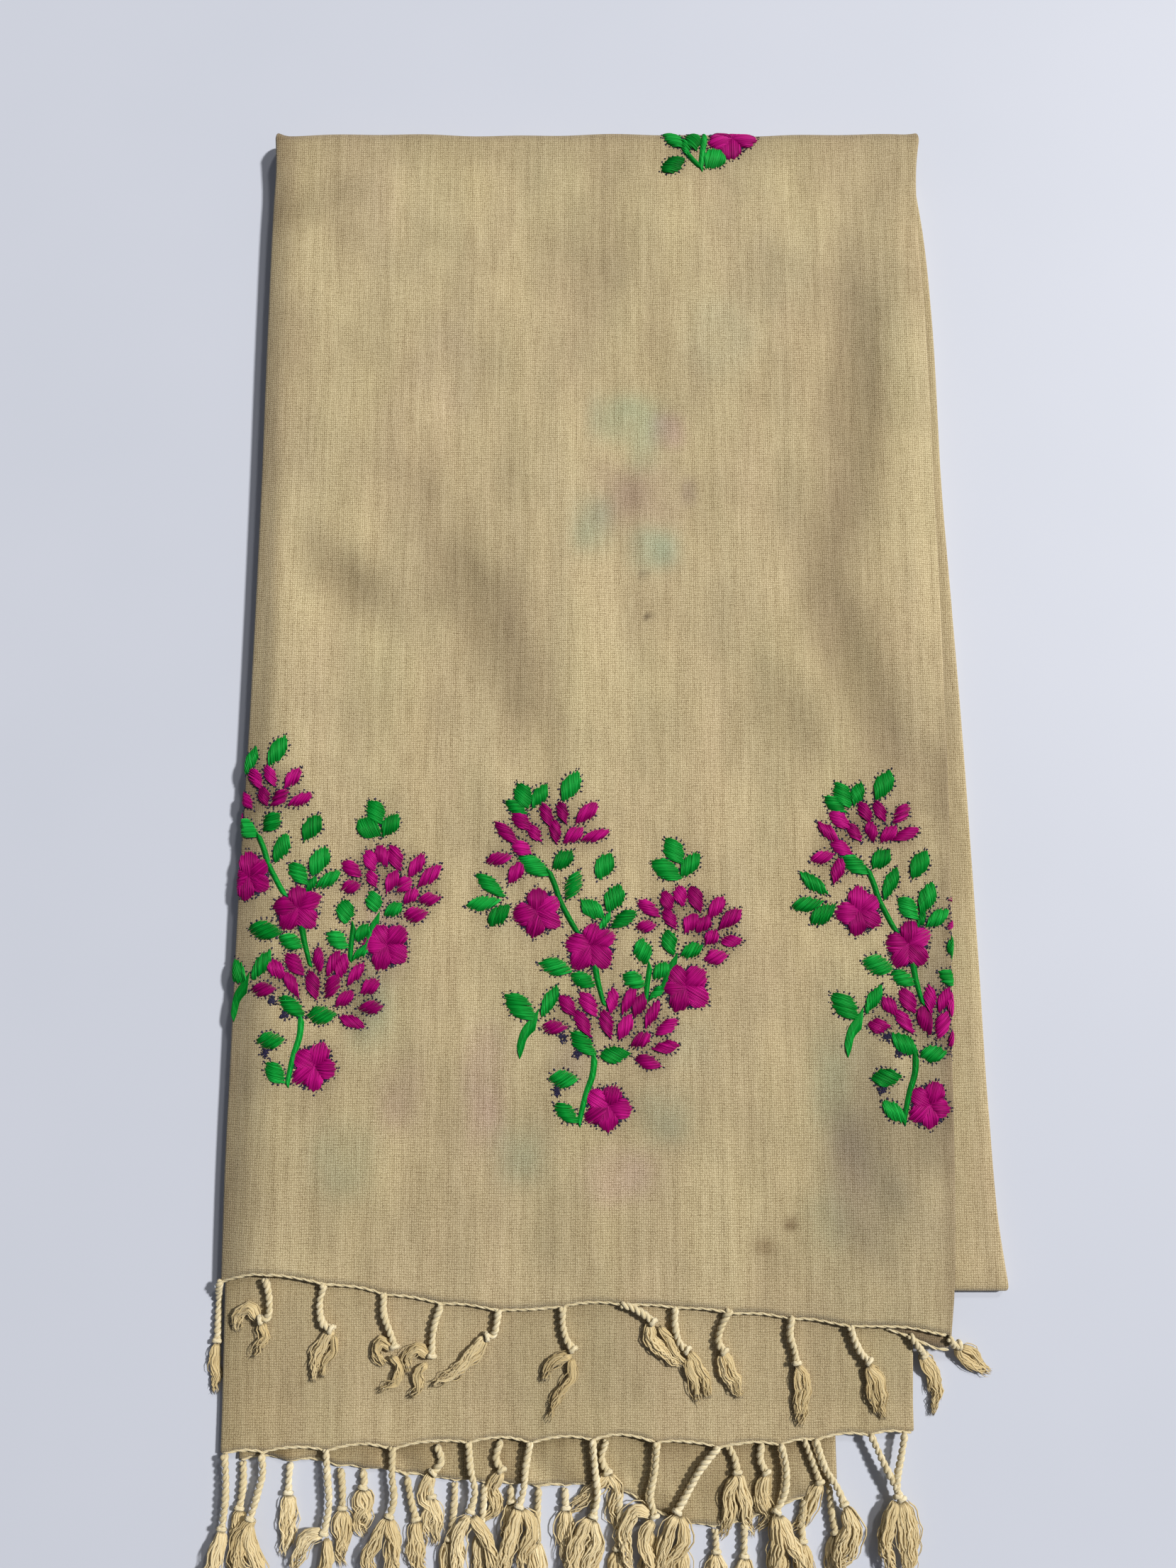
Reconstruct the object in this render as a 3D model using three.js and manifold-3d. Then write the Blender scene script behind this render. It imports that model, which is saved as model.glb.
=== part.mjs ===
// A large rectangular shawl of thin plain-woven cloth with twisted tassels on both ends, folded and lying
// flat on a table. The cloth is folded in three across its width, then twice along its length, so that both
// fringed ends come out at the near side and the last turn is at the far side.
//
// Millimetres. +X is to the right, +Y goes away from the fringe to the far turn, +Z is up from the table.
// Each stretch of cloth that shows is a wall, and the layers that don't show share one solid between them.

import * as THREE from "three";
import { mergeVertices } from "three/addons/utils/BufferGeometryUtils.js";
import Module from "manifold-3d";

const wasm = await Module();
wasm.setup();

// ---------------------------------------------------------------- driving sizes

const WALL = 1.1; // one thickness of the soft cloth
const FOLD_GAP = 0.3; // air inside a pressed lengthwise fold
const REST_GAP = 0.4; // clear space between stretches that lie on each other
const CREASE_ROOM = 1.4; // clear space under the front stretch for its creases
const SEAM_GAP = 0.3; // clear space where a stretch goes on in its neighbour
const RETURN_WIDTH = 41; // how far a lengthwise fold reaches back under its own stretch
const FRONT_RETURN_COLUMNS = 3; // columns of the front stretch in that width

const FOLDED_EDGE = 2 * WALL + FOLD_GAP; // height of a stretch at its folded long edges
const TURNED_TOP = 2 * FOLDED_EDGE + 0.6; // height of the stretch that is turned under
const THIRD_TOP = TURNED_TOP + REST_GAP + WALL;
const SECOND_TOP = THIRD_TOP + REST_GAP + FOLDED_EDGE;
const FRONT_TOP = SECOND_TOP + REST_GAP + FOLDED_EDGE;

const FAR_TURN_Y = 324; // outside of the far turn
const TURNED_END_Y = -227; // outside of the near turn
const UNDER_SEAM_Y = 300; // where the front stretch goes on in the turned one, on the underside
const HIDDEN_START_Y = -150; // where the hidden layers stop and the second and third stretches start

const FRONT_COLUMNS = 22;
const FRONT_ROWS = 18;
const TURNED_COLUMNS = 7;
const TURNED_ROWS = 9;
const END_COLUMNS = 14;
const END_STATIONS = [-189, -228, -251, -274]; // rows of the second and third stretches before their ends
const CORE_COLUMNS = 11;
const CORE_ROWS = 9;
const FOLD_STEPS = 4;
const TURN_STEPS = 6;

// Long edges of the front stretch, and of the stretch turned under, which is fanned out to the right.
const FRONT_EDGES = [
  { y: 324, left: -154.6, right: 164.2 },
  { y: 308, left: -153.9, right: 162.0 },
  { y: 285, left: -154.6, right: 161.2 },
  { y: 225, left: -155.4, right: 163.4 },
  { y: 145, left: -155.9, right: 164.6 },
  { y: 30, left: -157.8, right: 165.8 },
  { y: -58, left: -160.3, right: 165.0 },
  { y: -124, left: -161.3, right: 163.0 },
  { y: -173, left: -162.1, right: 162.3 },
  { y: -222, left: -161.9, right: 160.4 },
  { y: -246, left: -161.5, right: 158.6 },
];
const TURNED_EDGES = [
  { y: 300, left: -151.0, right: 162.5 },
  { y: 270, left: -150.4, right: 166.2 },
  { y: 225, left: -149.6, right: 168.8 },
  { y: 144, left: -147.6, right: 170.2 },
  { y: 85, left: -146.0, right: 172.8 },
  { y: 15, left: -144.0, right: 175.8 },
  { y: -75, left: -141.2, right: 178.6 },
  { y: -150, left: -139.0, right: 180.6 },
  { y: -200, left: -137.6, right: 183.2 },
  { y: -227, left: -137.0, right: 186.6 },
];

// Cut ends of the three stretches, from left to right.
const FRONT_END = [
  { x: -163, y: -221.6 },
  { x: -147, y: -217.6 },
  { x: -117, y: -220.3 },
  { x: -90, y: -225.0 },
  { x: -55, y: -230.1 },
  { x: -32, y: -232.4 },
  { x: 2, y: -229.4 },
  { x: 37, y: -231.0 },
  { x: 74, y: -234.2 },
  { x: 113, y: -238.3 },
  { x: 145, y: -240.8 },
  { x: 160, y: -243.0 },
];
// How far the right return of the front stretch slips out past that end.
const RETURN_SLIP = [
  { x: 118, past: 0 },
  { x: 132, past: 1 },
  { x: 145.5, past: 2.8 },
  { x: 159, past: 0 },
];
const SECOND_END = [
  { x: -162, y: -293.4 },
  { x: -140, y: -292.9 },
  { x: -110, y: -291.6 },
  { x: -82, y: -291.0 },
  { x: -50, y: -288.6 },
  { x: -20, y: -288.4 },
  { x: 16, y: -287.4 },
  { x: 50, y: -290.6 },
  { x: 84, y: -289.6 },
  { x: 112, y: -286.6 },
  { x: 144, y: -284.4 },
];
const THIRD_END = [
  { x: -154, y: -296.4 },
  { x: -128, y: -297.4 },
  { x: -96, y: -301.0 },
  { x: -60, y: -305.4 },
  { x: -20, y: -308.0 },
  { x: 16, y: -310.4 },
  { x: 34, y: -321.0 },
  { x: 56, y: -324.4 },
  { x: 82, y: -317.6 },
  { x: 110, y: -304.4 },
];

const SECOND_SIDES = { left: -160.4, right: 142.5, radius: FOLDED_EDGE / 2 };
const THIRD_SIDES = { left: -152.5, right: 108.5, radius: 0 };

// Soft creases on the front stretch: middle, half length, half width, height, and the turn of the long
// axis from +Y towards +X in degrees.
const CREASES = [
  { x: 127, y: 182, along: 88, across: 15, lift: -1.1, turn: 6 },
  { x: 131, y: 38, along: 62, across: 14, lift: -1.2, turn: -23 },
  { x: 152, y: 118, along: 72, across: 9, lift: 0.7, turn: -4 },
  { x: -110, y: 92, along: 26, across: 11, lift: -1.1, turn: -49 },
  { x: -48, y: 74, along: 56, across: 16, lift: -1.3, turn: -23 },
  { x: -5, y: 92, along: 84, across: 15, lift: 0.8, turn: 0 },
  { x: -137, y: 74, along: 32, across: 13, lift: 0.7, turn: -12 },
  { x: 92, y: 34, along: 24, across: 13, lift: -0.8, turn: -32 },
  { x: -133, y: 286, along: 28, across: 11, lift: -0.6, turn: 62 },
  { x: 4, y: 262, along: 58, across: 15, lift: -0.6, turn: 3 },
  { x: 58, y: -192, along: 34, across: 16, lift: 0.5, turn: 10 },
];

// Tassels: where the root is along the edge, then the lean of the cord and of its loose tail from -Y
// towards +X in degrees, and the length of each.
const FRONT_TASSELS = [
  { x: -161.6, lean: -3, cord: 27, tailLean: -4, tail: 20 },
  { x: -140.0, lean: 3, cord: 18, tailLean: -24, tail: 20 },
  { x: -114.7, lean: 5, cord: 21, tailLean: -18, tail: 22 },
  { x: -88.4, lean: 9, cord: 27, tailLean: -6, tail: 18 },
  { x: -64.0, lean: -10, cord: 23, tailLean: -24, tail: 20 },
  { x: -39.4, lean: -8, cord: 14, tailLean: -46, tail: 31 },
  { x: -11.6, lean: 8, cord: 20, tailLean: -17, tail: 33 },
  { x: 14.4, lean: 54, cord: 18, tailLean: 34, tail: 23 },
  { x: 37.2, lean: 20, cord: 22, tailLean: 22, tail: 24 },
  { x: 61.6, lean: -8, cord: 15, tailLean: 17, tail: 27 },
  { x: 88.4, lean: 8, cord: 25, tailLean: 3, tail: 28 },
  { x: 114.7, lean: 24, cord: 17, tailLean: 18, tail: 28 },
  { x: 155.6, lean: 36, cord: 9, tailLean: 50, tail: 21 },
];
const INNER_TASSELS = [{ x: 139.5, lean: 38, cord: 17, tailLean: 10, tail: 30 }];
const SECOND_TASSELS = [
  { x: -158.0, lean: -5, cord: 32, tailLean: -12, tail: 33 },
  { x: -142.4, lean: -9, cord: 28, tailLean: -4, tail: 38 },
  { x: -114.6, lean: 0, cord: 38, tailLean: -6, tail: 30 },
  { x: -85.5, lean: -2, cord: 30, tailLean: 4, tail: 37 },
  { x: -52.4, lean: 5, cord: 31, tailLean: -4, tail: 36 },
  { x: -25.2, lean: -10, cord: 28, tailLean: -12, tail: 36 },
  { x: 1.4, lean: 4, cord: 33, tailLean: -12, tail: 33 },
  { x: 30.5, lean: -4, cord: 30, tailLean: -20, tail: 36 },
  { x: 57.0, lean: -34, cord: 33, tailLean: -8, tail: 33 },
  { x: 83.6, lean: -3, cord: 32, tailLean: 8, tail: 36 },
  { x: 99.0, lean: 18, cord: 33, tailLean: -6, tail: 28 },
  { x: 122.5, lean: 16, cord: 28, tailLean: -4, tail: 36 },
  { x: 137.8, lean: 2, cord: 27, tailLean: 9, tail: 36 },
];
const THIRD_TASSELS = [
  { x: -150.6, lean: -2, cord: 23, tailLean: 0, tail: 28 },
  { x: -130.0, lean: 2, cord: 13, tailLean: -2, tail: 24 },
  { x: -108.0, lean: 5, cord: 17, tailLean: 1, tail: 24 },
  { x: -98.6, lean: 3, cord: 9, tailLean: 2, tail: 17 },
  { x: -79.0, lean: 5, cord: 18, tailLean: 8, tail: 22 },
  { x: -69.0, lean: -1, cord: 10, tailLean: 6, tail: 18 },
  { x: -58.0, lean: -5, cord: 26, tailLean: 0, tail: 24 },
  { x: -45.0, lean: 2, cord: 20, tailLean: -4, tail: 24 },
  { x: -33.5, lean: 0, cord: 9, tailLean: 3, tail: 19 },
  { x: -21.5, lean: -3, cord: 22, tailLean: 1, tail: 26 },
  { x: -10.0, lean: 2, cord: 12, tailLean: -3, tail: 20 },
  { x: 1.0, lean: 3, cord: 20, tailLean: 2, tail: 28 },
  { x: 13.5, lean: 1, cord: 24, tailLean: -3, tail: 26 },
  { x: 26.0, lean: -2, cord: 12, tailLean: 2, tail: 22 },
  { x: 41.0, lean: -3, cord: 14, tailLean: -6, tail: 24 },
  { x: 55.0, lean: 3, cord: 12, tailLean: -2, tail: 24 },
  { x: 68.0, lean: 4, cord: 16, tailLean: -5, tail: 22 },
  { x: 81.0, lean: 0, cord: 14, tailLean: 5, tail: 24 },
  { x: 94.0, lean: 4, cord: 18, tailLean: -2, tail: 26 },
  { x: 105.0, lean: 6, cord: 20, tailLean: 3, tail: 24 },
];

const CORD_RADIUS = 1.5; // twisted part of a tassel
const TAIL_HALF_WIDTH = 2.3; // loose part, where it is widest
const TAIL_HALF_HEIGHT = 1.5;
const CORD_STEPS = 3;
const TAIL_SWELL = [0.5, 0.95, 0.9, 0.25]; // share of those along the tail
const TAIL_SPREAD = 5; // degrees between the two locks of a tail and its middle
const HEADER_RADIUS = 0.6; // twisted thread that binds a cut end
const TABLE_GAP = 0.35; // loose strands stay this far above the table
const FALL_SLOPE = 0.85; // steepest fall of a tassel off the edge it leaves
const LEFT_SLOPE = 0.16; // fall of the upper layers past the left edge of the turned stretch

// ---------------------------------------------------------------- tables and levels

const { lerp, clamp, degToRad, smoothstep } = THREE.MathUtils;

/** A smooth reading of one column of a table at a place on another column. */
function readTable(rows, key, value, at) {
  const sorted = [...rows].sort((a, b) => a[key] - b[key]);
  const places = sorted.map((row) => row[key]);
  const values = sorted.map((row) => row[value]);
  const curve = new THREE.CubicInterpolant(places, values, 1);
  return curve.evaluate(clamp(at, places[0], places[places.length - 1]))[0];
}

/** How far the front stretch's right return is past the cut end, in straight runs between its rows. */
function slip(x) {
  const next = RETURN_SLIP.findIndex((row) => row.x > x);
  if (next < 1) return 0;
  const [a, b] = [RETURN_SLIP[next - 1], RETURN_SLIP[next]];
  return lerp(a.past, b.past, (x - a.x) / (b.x - a.x));
}

/** 0 to 1 as a value goes from one bound to the other, whichever is the larger. */
const smooth = (at, from, to) => (from < to ? smoothstep(at, from, to) : 1 - smoothstep(at, to, from));

const frontLeft = (y) => readTable(FRONT_EDGES, "y", "left", y);
const frontRight = (y) => readTable(FRONT_EDGES, "y", "right", y);
const frontSides = (y) => ({ left: frontLeft(y), right: frontRight(y), radius: FOLDED_EDGE / 2 });

/** Where the layers above begin to sink past the left edge of the turned stretch. */
const bendX = (y) => readTable(TURNED_EDGES, "y", "left", y) - 1;

/** How far the layers over the turned stretch sink where it doesn't hold them up. */
function settle(x, y) {
  const pastLeft = LEFT_SLOPE * Math.max(0, bendX(y) - x);
  const pastEnd = clamp((END_STATIONS[1] - y) / (END_STATIONS[1] - END_STATIONS[3]), 0, 1);
  return lerp(pastLeft, TURNED_TOP - 0.2, pastEnd);
}

/** Height of the soft creases of the front stretch. */
function creaseLift(x, y) {
  const fade = smooth(x, frontLeft(y), frontLeft(y) + 12) * smooth(x, frontRight(y), frontRight(y) - 12);
  const lift = CREASES.reduce((sum, crease) => {
    const turn = degToRad(crease.turn);
    const along = (x - crease.x) * Math.sin(turn) + (y - crease.y) * Math.cos(turn);
    const across = (x - crease.x) * Math.cos(turn) - (y - crease.y) * Math.sin(turn);
    return sum + crease.lift * Math.exp(-((along / crease.along) ** 2) - (across / crease.across) ** 2);
  }, 0);
  return lift * fade * smooth(y, FAR_TURN_Y - 4, FAR_TURN_Y - 30);
}

/** How far the middle of the front stretch sags between its two folded edges near the cut end. */
function endSag(x, y) {
  const from = frontLeft(y) + RETURN_WIDTH + 2;
  const to = frontRight(y) - RETURN_WIDTH - 4;
  const inside = smooth(x, from, from + 22) * smooth(x, to, to - 22);
  return 1.1 * inside * smooth(y, HIDDEN_START_Y, HIDDEN_START_Y - 45);
}

const frontLevel = (x, y) => FRONT_TOP + creaseLift(x, y) - settle(x, y) - endSag(x, y);
const secondLevel = (x, y) => SECOND_TOP - settle(x, y);
const thirdLevel = (x, y) => THIRD_TOP - settle(x, y);

// ---------------------------------------------------------------- solids from sections

/** A closed geometry from points and triangles, with its faces turned outwards. */
function closedGeometry(points, faces) {
  const volume = faces.reduce((sum, _, i) => {
    if (i % 3) return sum;
    const [a, b, c] = [points[faces[i]], points[faces[i + 1]], points[faces[i + 2]]];
    return sum + a.dot(new THREE.Vector3().crossVectors(b, c));
  }, 0);
  const index = volume < 0 ? faces.toReversed() : faces;
  return new THREE.BufferGeometry().setFromPoints(points).setIndex(index);
}

/** A wall between the two grids of points of a sheet's sides, closed along its four edges. */
function wallGeometry(rows, profile, point) {
  const grids = [0, 1].map((side) => rows.map((row) => profile.map((place) => point(row, place, side))));
  const columns = profile.length;
  const faces = [];
  const at = (row, column, side) => (side * rows.length + row) * columns + column;
  const quad = (a, b, c, d) => faces.push(a, b, c, a, c, d);
  for (let r = 0; r < rows.length - 1; r++) {
    for (let c = 0; c < columns - 1; c++) {
      quad(at(r, c, 0), at(r, c + 1, 0), at(r + 1, c + 1, 0), at(r + 1, c, 0));
      quad(at(r, c, 1), at(r + 1, c, 1), at(r + 1, c + 1, 1), at(r, c + 1, 1));
    }
    quad(at(r, 0, 0), at(r + 1, 0, 0), at(r + 1, 0, 1), at(r, 0, 1));
    quad(at(r, columns - 1, 0), at(r, columns - 1, 1), at(r + 1, columns - 1, 1), at(r + 1, columns - 1, 0));
  }
  const end = rows.length - 1;
  for (let c = 0; c < columns - 1; c++) {
    quad(at(0, c, 0), at(0, c, 1), at(0, c + 1, 1), at(0, c + 1, 0));
    quad(at(end, c, 0), at(end, c + 1, 0), at(end, c + 1, 1), at(end, c, 1));
  }
  return closedGeometry(grids.flat(2), faces);
}

/**
 * Places across a stretch, from left to right. A place lies at a share of the way from the line where
 * the layers begin to sink to the right edge, at a share of the way before that line (lead), or at a
 * distance from one of the edges. Its depth is below the outside of the cloth, for both sides of the wall.
 */
function plainProfile(columns, depth = [0, WALL]) {
  const shares = Array.from({ length: columns + 1 }, (_, c) => ({ share: c / columns, depth }));
  return [{ lead: 0, depth }, { lead: 0.5, depth }, ...shares];
}

/** The same for a stretch whose long edges are folded under, from one return's end to the other's. */
function foldedProfile(columns, returnColumns) {
  const radius = FOLDED_EDGE / 2;
  const under = plainProfile(columns, [FOLDED_EDGE, FOLDED_EDGE - WALL]);
  const round = Array.from({ length: FOLD_STEPS - 1 }, (_, k) => {
    const turn = (Math.PI * (k + 1)) / FOLD_STEPS;
    const sides = [radius, radius - WALL];
    return {
      edge: sides.map((r) => radius - r * Math.sin(turn)),
      depth: sides.map((r) => radius - r * Math.cos(turn)),
    };
  });
  return [
    ...under.slice(0, 4).toReversed(),
    ...round.toReversed().map((place) => ({ ...place, from: "left" })),
    ...plainProfile(columns),
    ...round.map((place) => ({ ...place, from: "right" })),
    ...under.slice(-1 - returnColumns).toReversed(),
  ];
}

/** X of a place of a profile on one side of the wall, between a stretch's two long edges. */
function profileX(place, side, y, { left, right, radius }) {
  if (place.from) return place.from === "left" ? left + place.edge[side] : right - place.edge[side];
  const bend = Math.max(bendX(y), left + radius + 0.8);
  if (place.lead !== undefined) return lerp(left + radius, bend, place.lead);
  return lerp(bend, right - radius, place.share);
}

/** Steps of a path along a stretch that turns over a round edge: straight, half a turn, straight. */
function turningPath(rows, backRows) {
  const path = [];
  for (let r = 0; r <= rows; r++) path.push({ part: "out", share: r / rows });
  for (let k = 1; k < TURN_STEPS; k++) path.push({ part: "turn", angle: (Math.PI * k) / TURN_STEPS });
  for (let r = 0; r <= backRows; r++) path.push({ part: "back", share: r / backRows });
  return path;
}

// ---------------------------------------------------------------- the stretches of cloth

/** The stretch that lies on top: flat, then over the far turn and a little way along the underside. */
function frontStretch() {
  const radius = FRONT_TOP / 2;
  const turnY = FAR_TURN_Y - radius;
  const profile = foldedProfile(FRONT_COLUMNS, FRONT_RETURN_COLUMNS);
  const point = (step, place, side) => {
    const depth = place.depth[side];
    const atY = (y) => profileX(place, side, y, frontSides(y));
    if (step.part === "end" || step.part === "out") {
      const endX = atY(TURNED_END_Y);
      const past = place.depth[0] === FOLDED_EDGE ? slip(endX) : 0;
      const endY = readTable(FRONT_END, "x", "y", endX) - past;
      const next = Math.max(END_STATIONS[1], endY + 8);
      const y = step.part === "end" ? endY : lerp(next, turnY, step.share);
      return new THREE.Vector3(atY(y), y, frontLevel(atY(y), y) - depth);
    }
    if (step.part === "turn") {
      const reach = radius - depth;
      const y = turnY + reach * Math.sin(step.angle);
      return new THREE.Vector3(atY(y), y, radius + reach * Math.cos(step.angle));
    }
    const y = lerp(turnY, UNDER_SEAM_Y + SEAM_GAP, step.share);
    return new THREE.Vector3(atY(y), y, depth);
  };
  return wallGeometry([{ part: "end" }, ...turningPath(FRONT_ROWS, 1)], profile, point);
}

/** The stretch turned under: along the table, round the near turn and back up to the far side. */
function turnedStretch() {
  const radius = TURNED_TOP / 2;
  const turnY = TURNED_END_Y + radius;
  const point = (step, place, side) => {
    const depth = place.depth[side];
    const atY = (y) => {
      const left = readTable(TURNED_EDGES, "y", "left", y);
      const right = readTable(TURNED_EDGES, "y", "right", y);
      return profileX(place, side, y, { left, right, radius: FOLDED_EDGE / 2 });
    };
    if (step.part === "turn") {
      const reach = radius - depth;
      const y = turnY - reach * Math.sin(step.angle);
      return new THREE.Vector3(atY(y), y, radius - reach * Math.cos(step.angle));
    }
    const out = step.part === "out";
    const y = lerp(UNDER_SEAM_Y, turnY, out ? step.share : 1 - step.share);
    return new THREE.Vector3(atY(y), y, out ? depth : TURNED_TOP - depth);
  };
  return wallGeometry(turningPath(TURNED_ROWS, TURNED_ROWS), foldedProfile(TURNED_COLUMNS, 1), point);
}

/** A stretch that shows past the one over it, from the hidden layers out to its own cut end. */
function endStretch(profile, sides, end, level) {
  const start = HIDDEN_START_Y - SEAM_GAP;
  const last = END_STATIONS[END_STATIONS.length - 1];
  const point = (station, place, side) => {
    const x = profileX(place, side, station ?? last, sides);
    const y = station ?? readTable(end, "x", "y", x);
    return new THREE.Vector3(x, y, level(x, y) - place.depth[side]);
  };
  return wallGeometry([start, ...END_STATIONS, null], profile, point);
}

/** One hidden layer with rounded long edges, between two heights and two insets from the front stretch. */
function hiddenLayer({ bottom, top, left, right, farY }) {
  const half = (top - bottom) / 2;
  const edge = [
    { edge: [0, 0], depth: [0.7 * half, 1.3 * half] },
    { edge: [0.3 * half, 0.3 * half], depth: [0.25 * half, 1.75 * half] },
  ];
  const profile = [
    ...edge.map((place) => ({ ...place, from: "left" })),
    ...plainProfile(CORE_COLUMNS, [0, 2 * half]),
    ...edge.toReversed().map((place) => ({ ...place, from: "right" })),
  ];
  const point = (share, place, side) => {
    const y = lerp(HIDDEN_START_Y, farY, share);
    const x = profileX(place, side, y, {
      left: frontLeft(y) + left,
      right: frontRight(y) - right,
      radius: half,
    });
    const taper = 1 - 0.5 * smooth(y, farY - 22, farY);
    const height = lerp(FRONT_TOP / 2, top - half, taper) + (half - place.depth[side]) * taper;
    return new THREE.Vector3(x, y, height - settle(x, y));
  };
  const rows = Array.from({ length: CORE_ROWS + 1 }, (_, r) => r / CORE_ROWS);
  return toSolid(wallGeometry(rows, profile, point));
}

/** The layers that don't show, fused into one solid that keeps its folded edges along both sides. */
function innerLayers() {
  const bottom = TURNED_TOP + REST_GAP;
  const top = FRONT_TOP - FOLDED_EDGE - CREASE_ROOM;
  const fold = (top - bottom) / 2;
  const farY = FAR_TURN_Y - FOLDED_EDGE - 2.4;
  const inner = RETURN_WIDTH + 8;
  const layers = [
    { bottom, top: bottom + fold + 0.1, left: 2.6, right: 1.8, farY },
    { bottom: bottom + fold - 0.1, top, left: 1.4, right: 3.6, farY: farY - 1 },
    { bottom: top - 0.8, top: top + 1, left: inner, right: inner, farY: farY - 5 },
  ];
  return toGeometry(layers.map(hiddenLayer).reduce((whole, layer) => whole.add(layer)));
}

// ---------------------------------------------------------------- fringes

/** A geometry as a solid that can be joined with others. */
function toSolid(geometry) {
  const plain = new THREE.BufferGeometry();
  plain.setAttribute("position", geometry.getAttribute("position"));
  plain.setIndex(geometry.getIndex());
  const merged = mergeVertices(plain, 1e-4);
  return new wasm.Manifold(
    new wasm.Mesh({
      numProp: 3,
      vertProperties: merged.getAttribute("position").array,
      triVerts: new Uint32Array(merged.getIndex().array),
    }),
  );
}

/** A joined solid as a geometry again. */
function toGeometry(solid) {
  const mesh = solid.getMesh();
  const geometry = new THREE.BufferGeometry();
  geometry.setAttribute("position", new THREE.BufferAttribute(new Float32Array(mesh.vertProperties), 3));
  return geometry.setIndex(new THREE.BufferAttribute(new Uint32Array(mesh.triVerts), 1));
}

/** A four-sided strand through stations that give its place, half width and half height. */
function strand(stations) {
  const rings = stations.map((station, k) => {
    const before = stations[Math.max(k - 1, 0)].at;
    const after = stations[Math.min(k + 1, stations.length - 1)].at;
    const along = new THREE.Vector3().subVectors(after, before).normalize();
    const sideways = new THREE.Vector3(-along.y, along.x, 0).normalize();
    const upwards = new THREE.Vector3().crossVectors(along, sideways).normalize();
    const corner = (side, up) =>
      station.at
        .clone()
        .addScaledVector(sideways, side * station.width)
        .addScaledVector(upwards, up * station.height);
    return [corner(1, 0), corner(0, 1), corner(-1, 0), corner(0, -1)];
  });
  const faces = [];
  for (let r = 0; r < rings.length - 1; r++) {
    for (let k = 0; k < 4; k++) {
      const next = (k + 1) % 4;
      faces.push(4 * r + k, 4 * r + next, 4 * r + 4 + next, 4 * r + k, 4 * r + 4 + next, 4 * r + 4 + k);
    }
  }
  const last = 4 * (rings.length - 1);
  faces.push(0, 2, 1, 0, 3, 2, last, last + 1, last + 2, last, last + 2, last + 3);
  return toSolid(closedGeometry(rings.flat(), faces));
}

/** Places along a run that starts at a point and leans from -Y towards +X, resting on what is under it. */
function restingRun(start, lean, length, steps, restLevel) {
  const turn = degToRad(lean);
  const run = [start];
  for (let k = 1; k <= steps; k++) {
    const last = run[run.length - 1];
    const step = length / steps;
    const x = last.x + step * Math.sin(turn);
    const y = last.y - step * Math.cos(turn);
    const fall = (k === 1 ? 0.5 : 1) * FALL_SLOPE * step;
    run.push(new THREE.Vector3(x, y, Math.max(restLevel(x, y), last.z - fall)));
  }
  return run;
}

/** One tassel: a twisted cord that ends in loose locks, each spread from the tail's middle to one side. */
function tassel(row, root, spreads, restLevel) {
  const cord = restingRun(root, row.lean, row.cord, CORD_STEPS, restLevel);
  const cordStations = cord.map((at, k) => {
    const radius = k ? CORD_RADIUS : HEADER_RADIUS + 0.2;
    return { at, width: radius, height: radius };
  });
  const start = cord[CORD_STEPS - 1].clone().lerp(cord[CORD_STEPS], 0.6);
  const locks = spreads.map((spread) => {
    const length = row.tail * (spread < 0 ? 0.9 : 1);
    const run = restingRun(start, row.tailLean + spread, length, TAIL_SWELL.length - 1, restLevel);
    return strand(
      run.map((at, k) => ({
        at,
        width: TAIL_HALF_WIDTH * TAIL_SWELL[k],
        height: TAIL_HALF_HEIGHT * TAIL_SWELL[k],
      })),
    );
  });
  return locks.reduce((whole, lock) => whole.add(lock), strand(cordStations));
}

/** A fringe: the twisted thread that binds a cut end, with its tassels fused into it. */
function fringe({ tassels, spreads, stations, edgeY, level, restLevel }) {
  const thread = stations.map((x) => {
    const y = edgeY(x) - SEAM_GAP - HEADER_RADIUS - 0.15;
    return new THREE.Vector3(x, y, level(x, y));
  });
  const rootAt = (x) => {
    const k = clamp(thread.findIndex((each) => each.x > x), 1, thread.length - 1);
    return thread[k - 1].clone().lerp(thread[k], (x - thread[k - 1].x) / (thread[k].x - thread[k - 1].x));
  };
  const header = strand(thread.map((at) => ({ at, width: HEADER_RADIUS, height: HEADER_RADIUS })));
  const joined = tassels.reduce(
    (whole, row) => whole.add(tassel(row, rootAt(row.x), spreads, restLevel)),
    header,
  );
  return toGeometry(joined);
}

/** X of the places on a stretch's open side near its cut end, for the thread that binds it. */
function threadStations(profile, y, sides, from, to) {
  const places = profile.filter((place) => place.depth[0] === 0);
  const across = places.map((place) => profileX(place, 0, y, sides));
  return [from, ...across.filter((x) => x > from + 2 && x < to - 2), to];
}

const onTable = TABLE_GAP + CORD_RADIUS;
const overThird = onTable + 2 * CORD_RADIUS + 0.5;

/** Level of a tassel that lies over the second stretch, or off its edges towards the table. */
function restOnSecond(x, y) {
  const inside = x > SECOND_SIDES.left - 1.5 && x < SECOND_SIDES.right + 1.5;
  const over = inside && y > readTable(SECOND_END, "x", "y", x);
  return over ? secondLevel(x, y) + REST_GAP + CORD_RADIUS : inside ? overThird : onTable;
}

function frontFringe() {
  const profile = foldedProfile(FRONT_COLUMNS, FRONT_RETURN_COLUMNS);
  return fringe({
    tassels: FRONT_TASSELS,
    spreads: [-TAIL_SPREAD, TAIL_SPREAD],
    stations: threadStations(profile, TURNED_END_Y, frontSides(TURNED_END_Y), -162.6, 157),
    edgeY: (x) => readTable(FRONT_END, "x", "y", x),
    level: (x, y) => frontLevel(x, y) - WALL / 2,
    restLevel: restOnSecond,
  });
}

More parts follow.
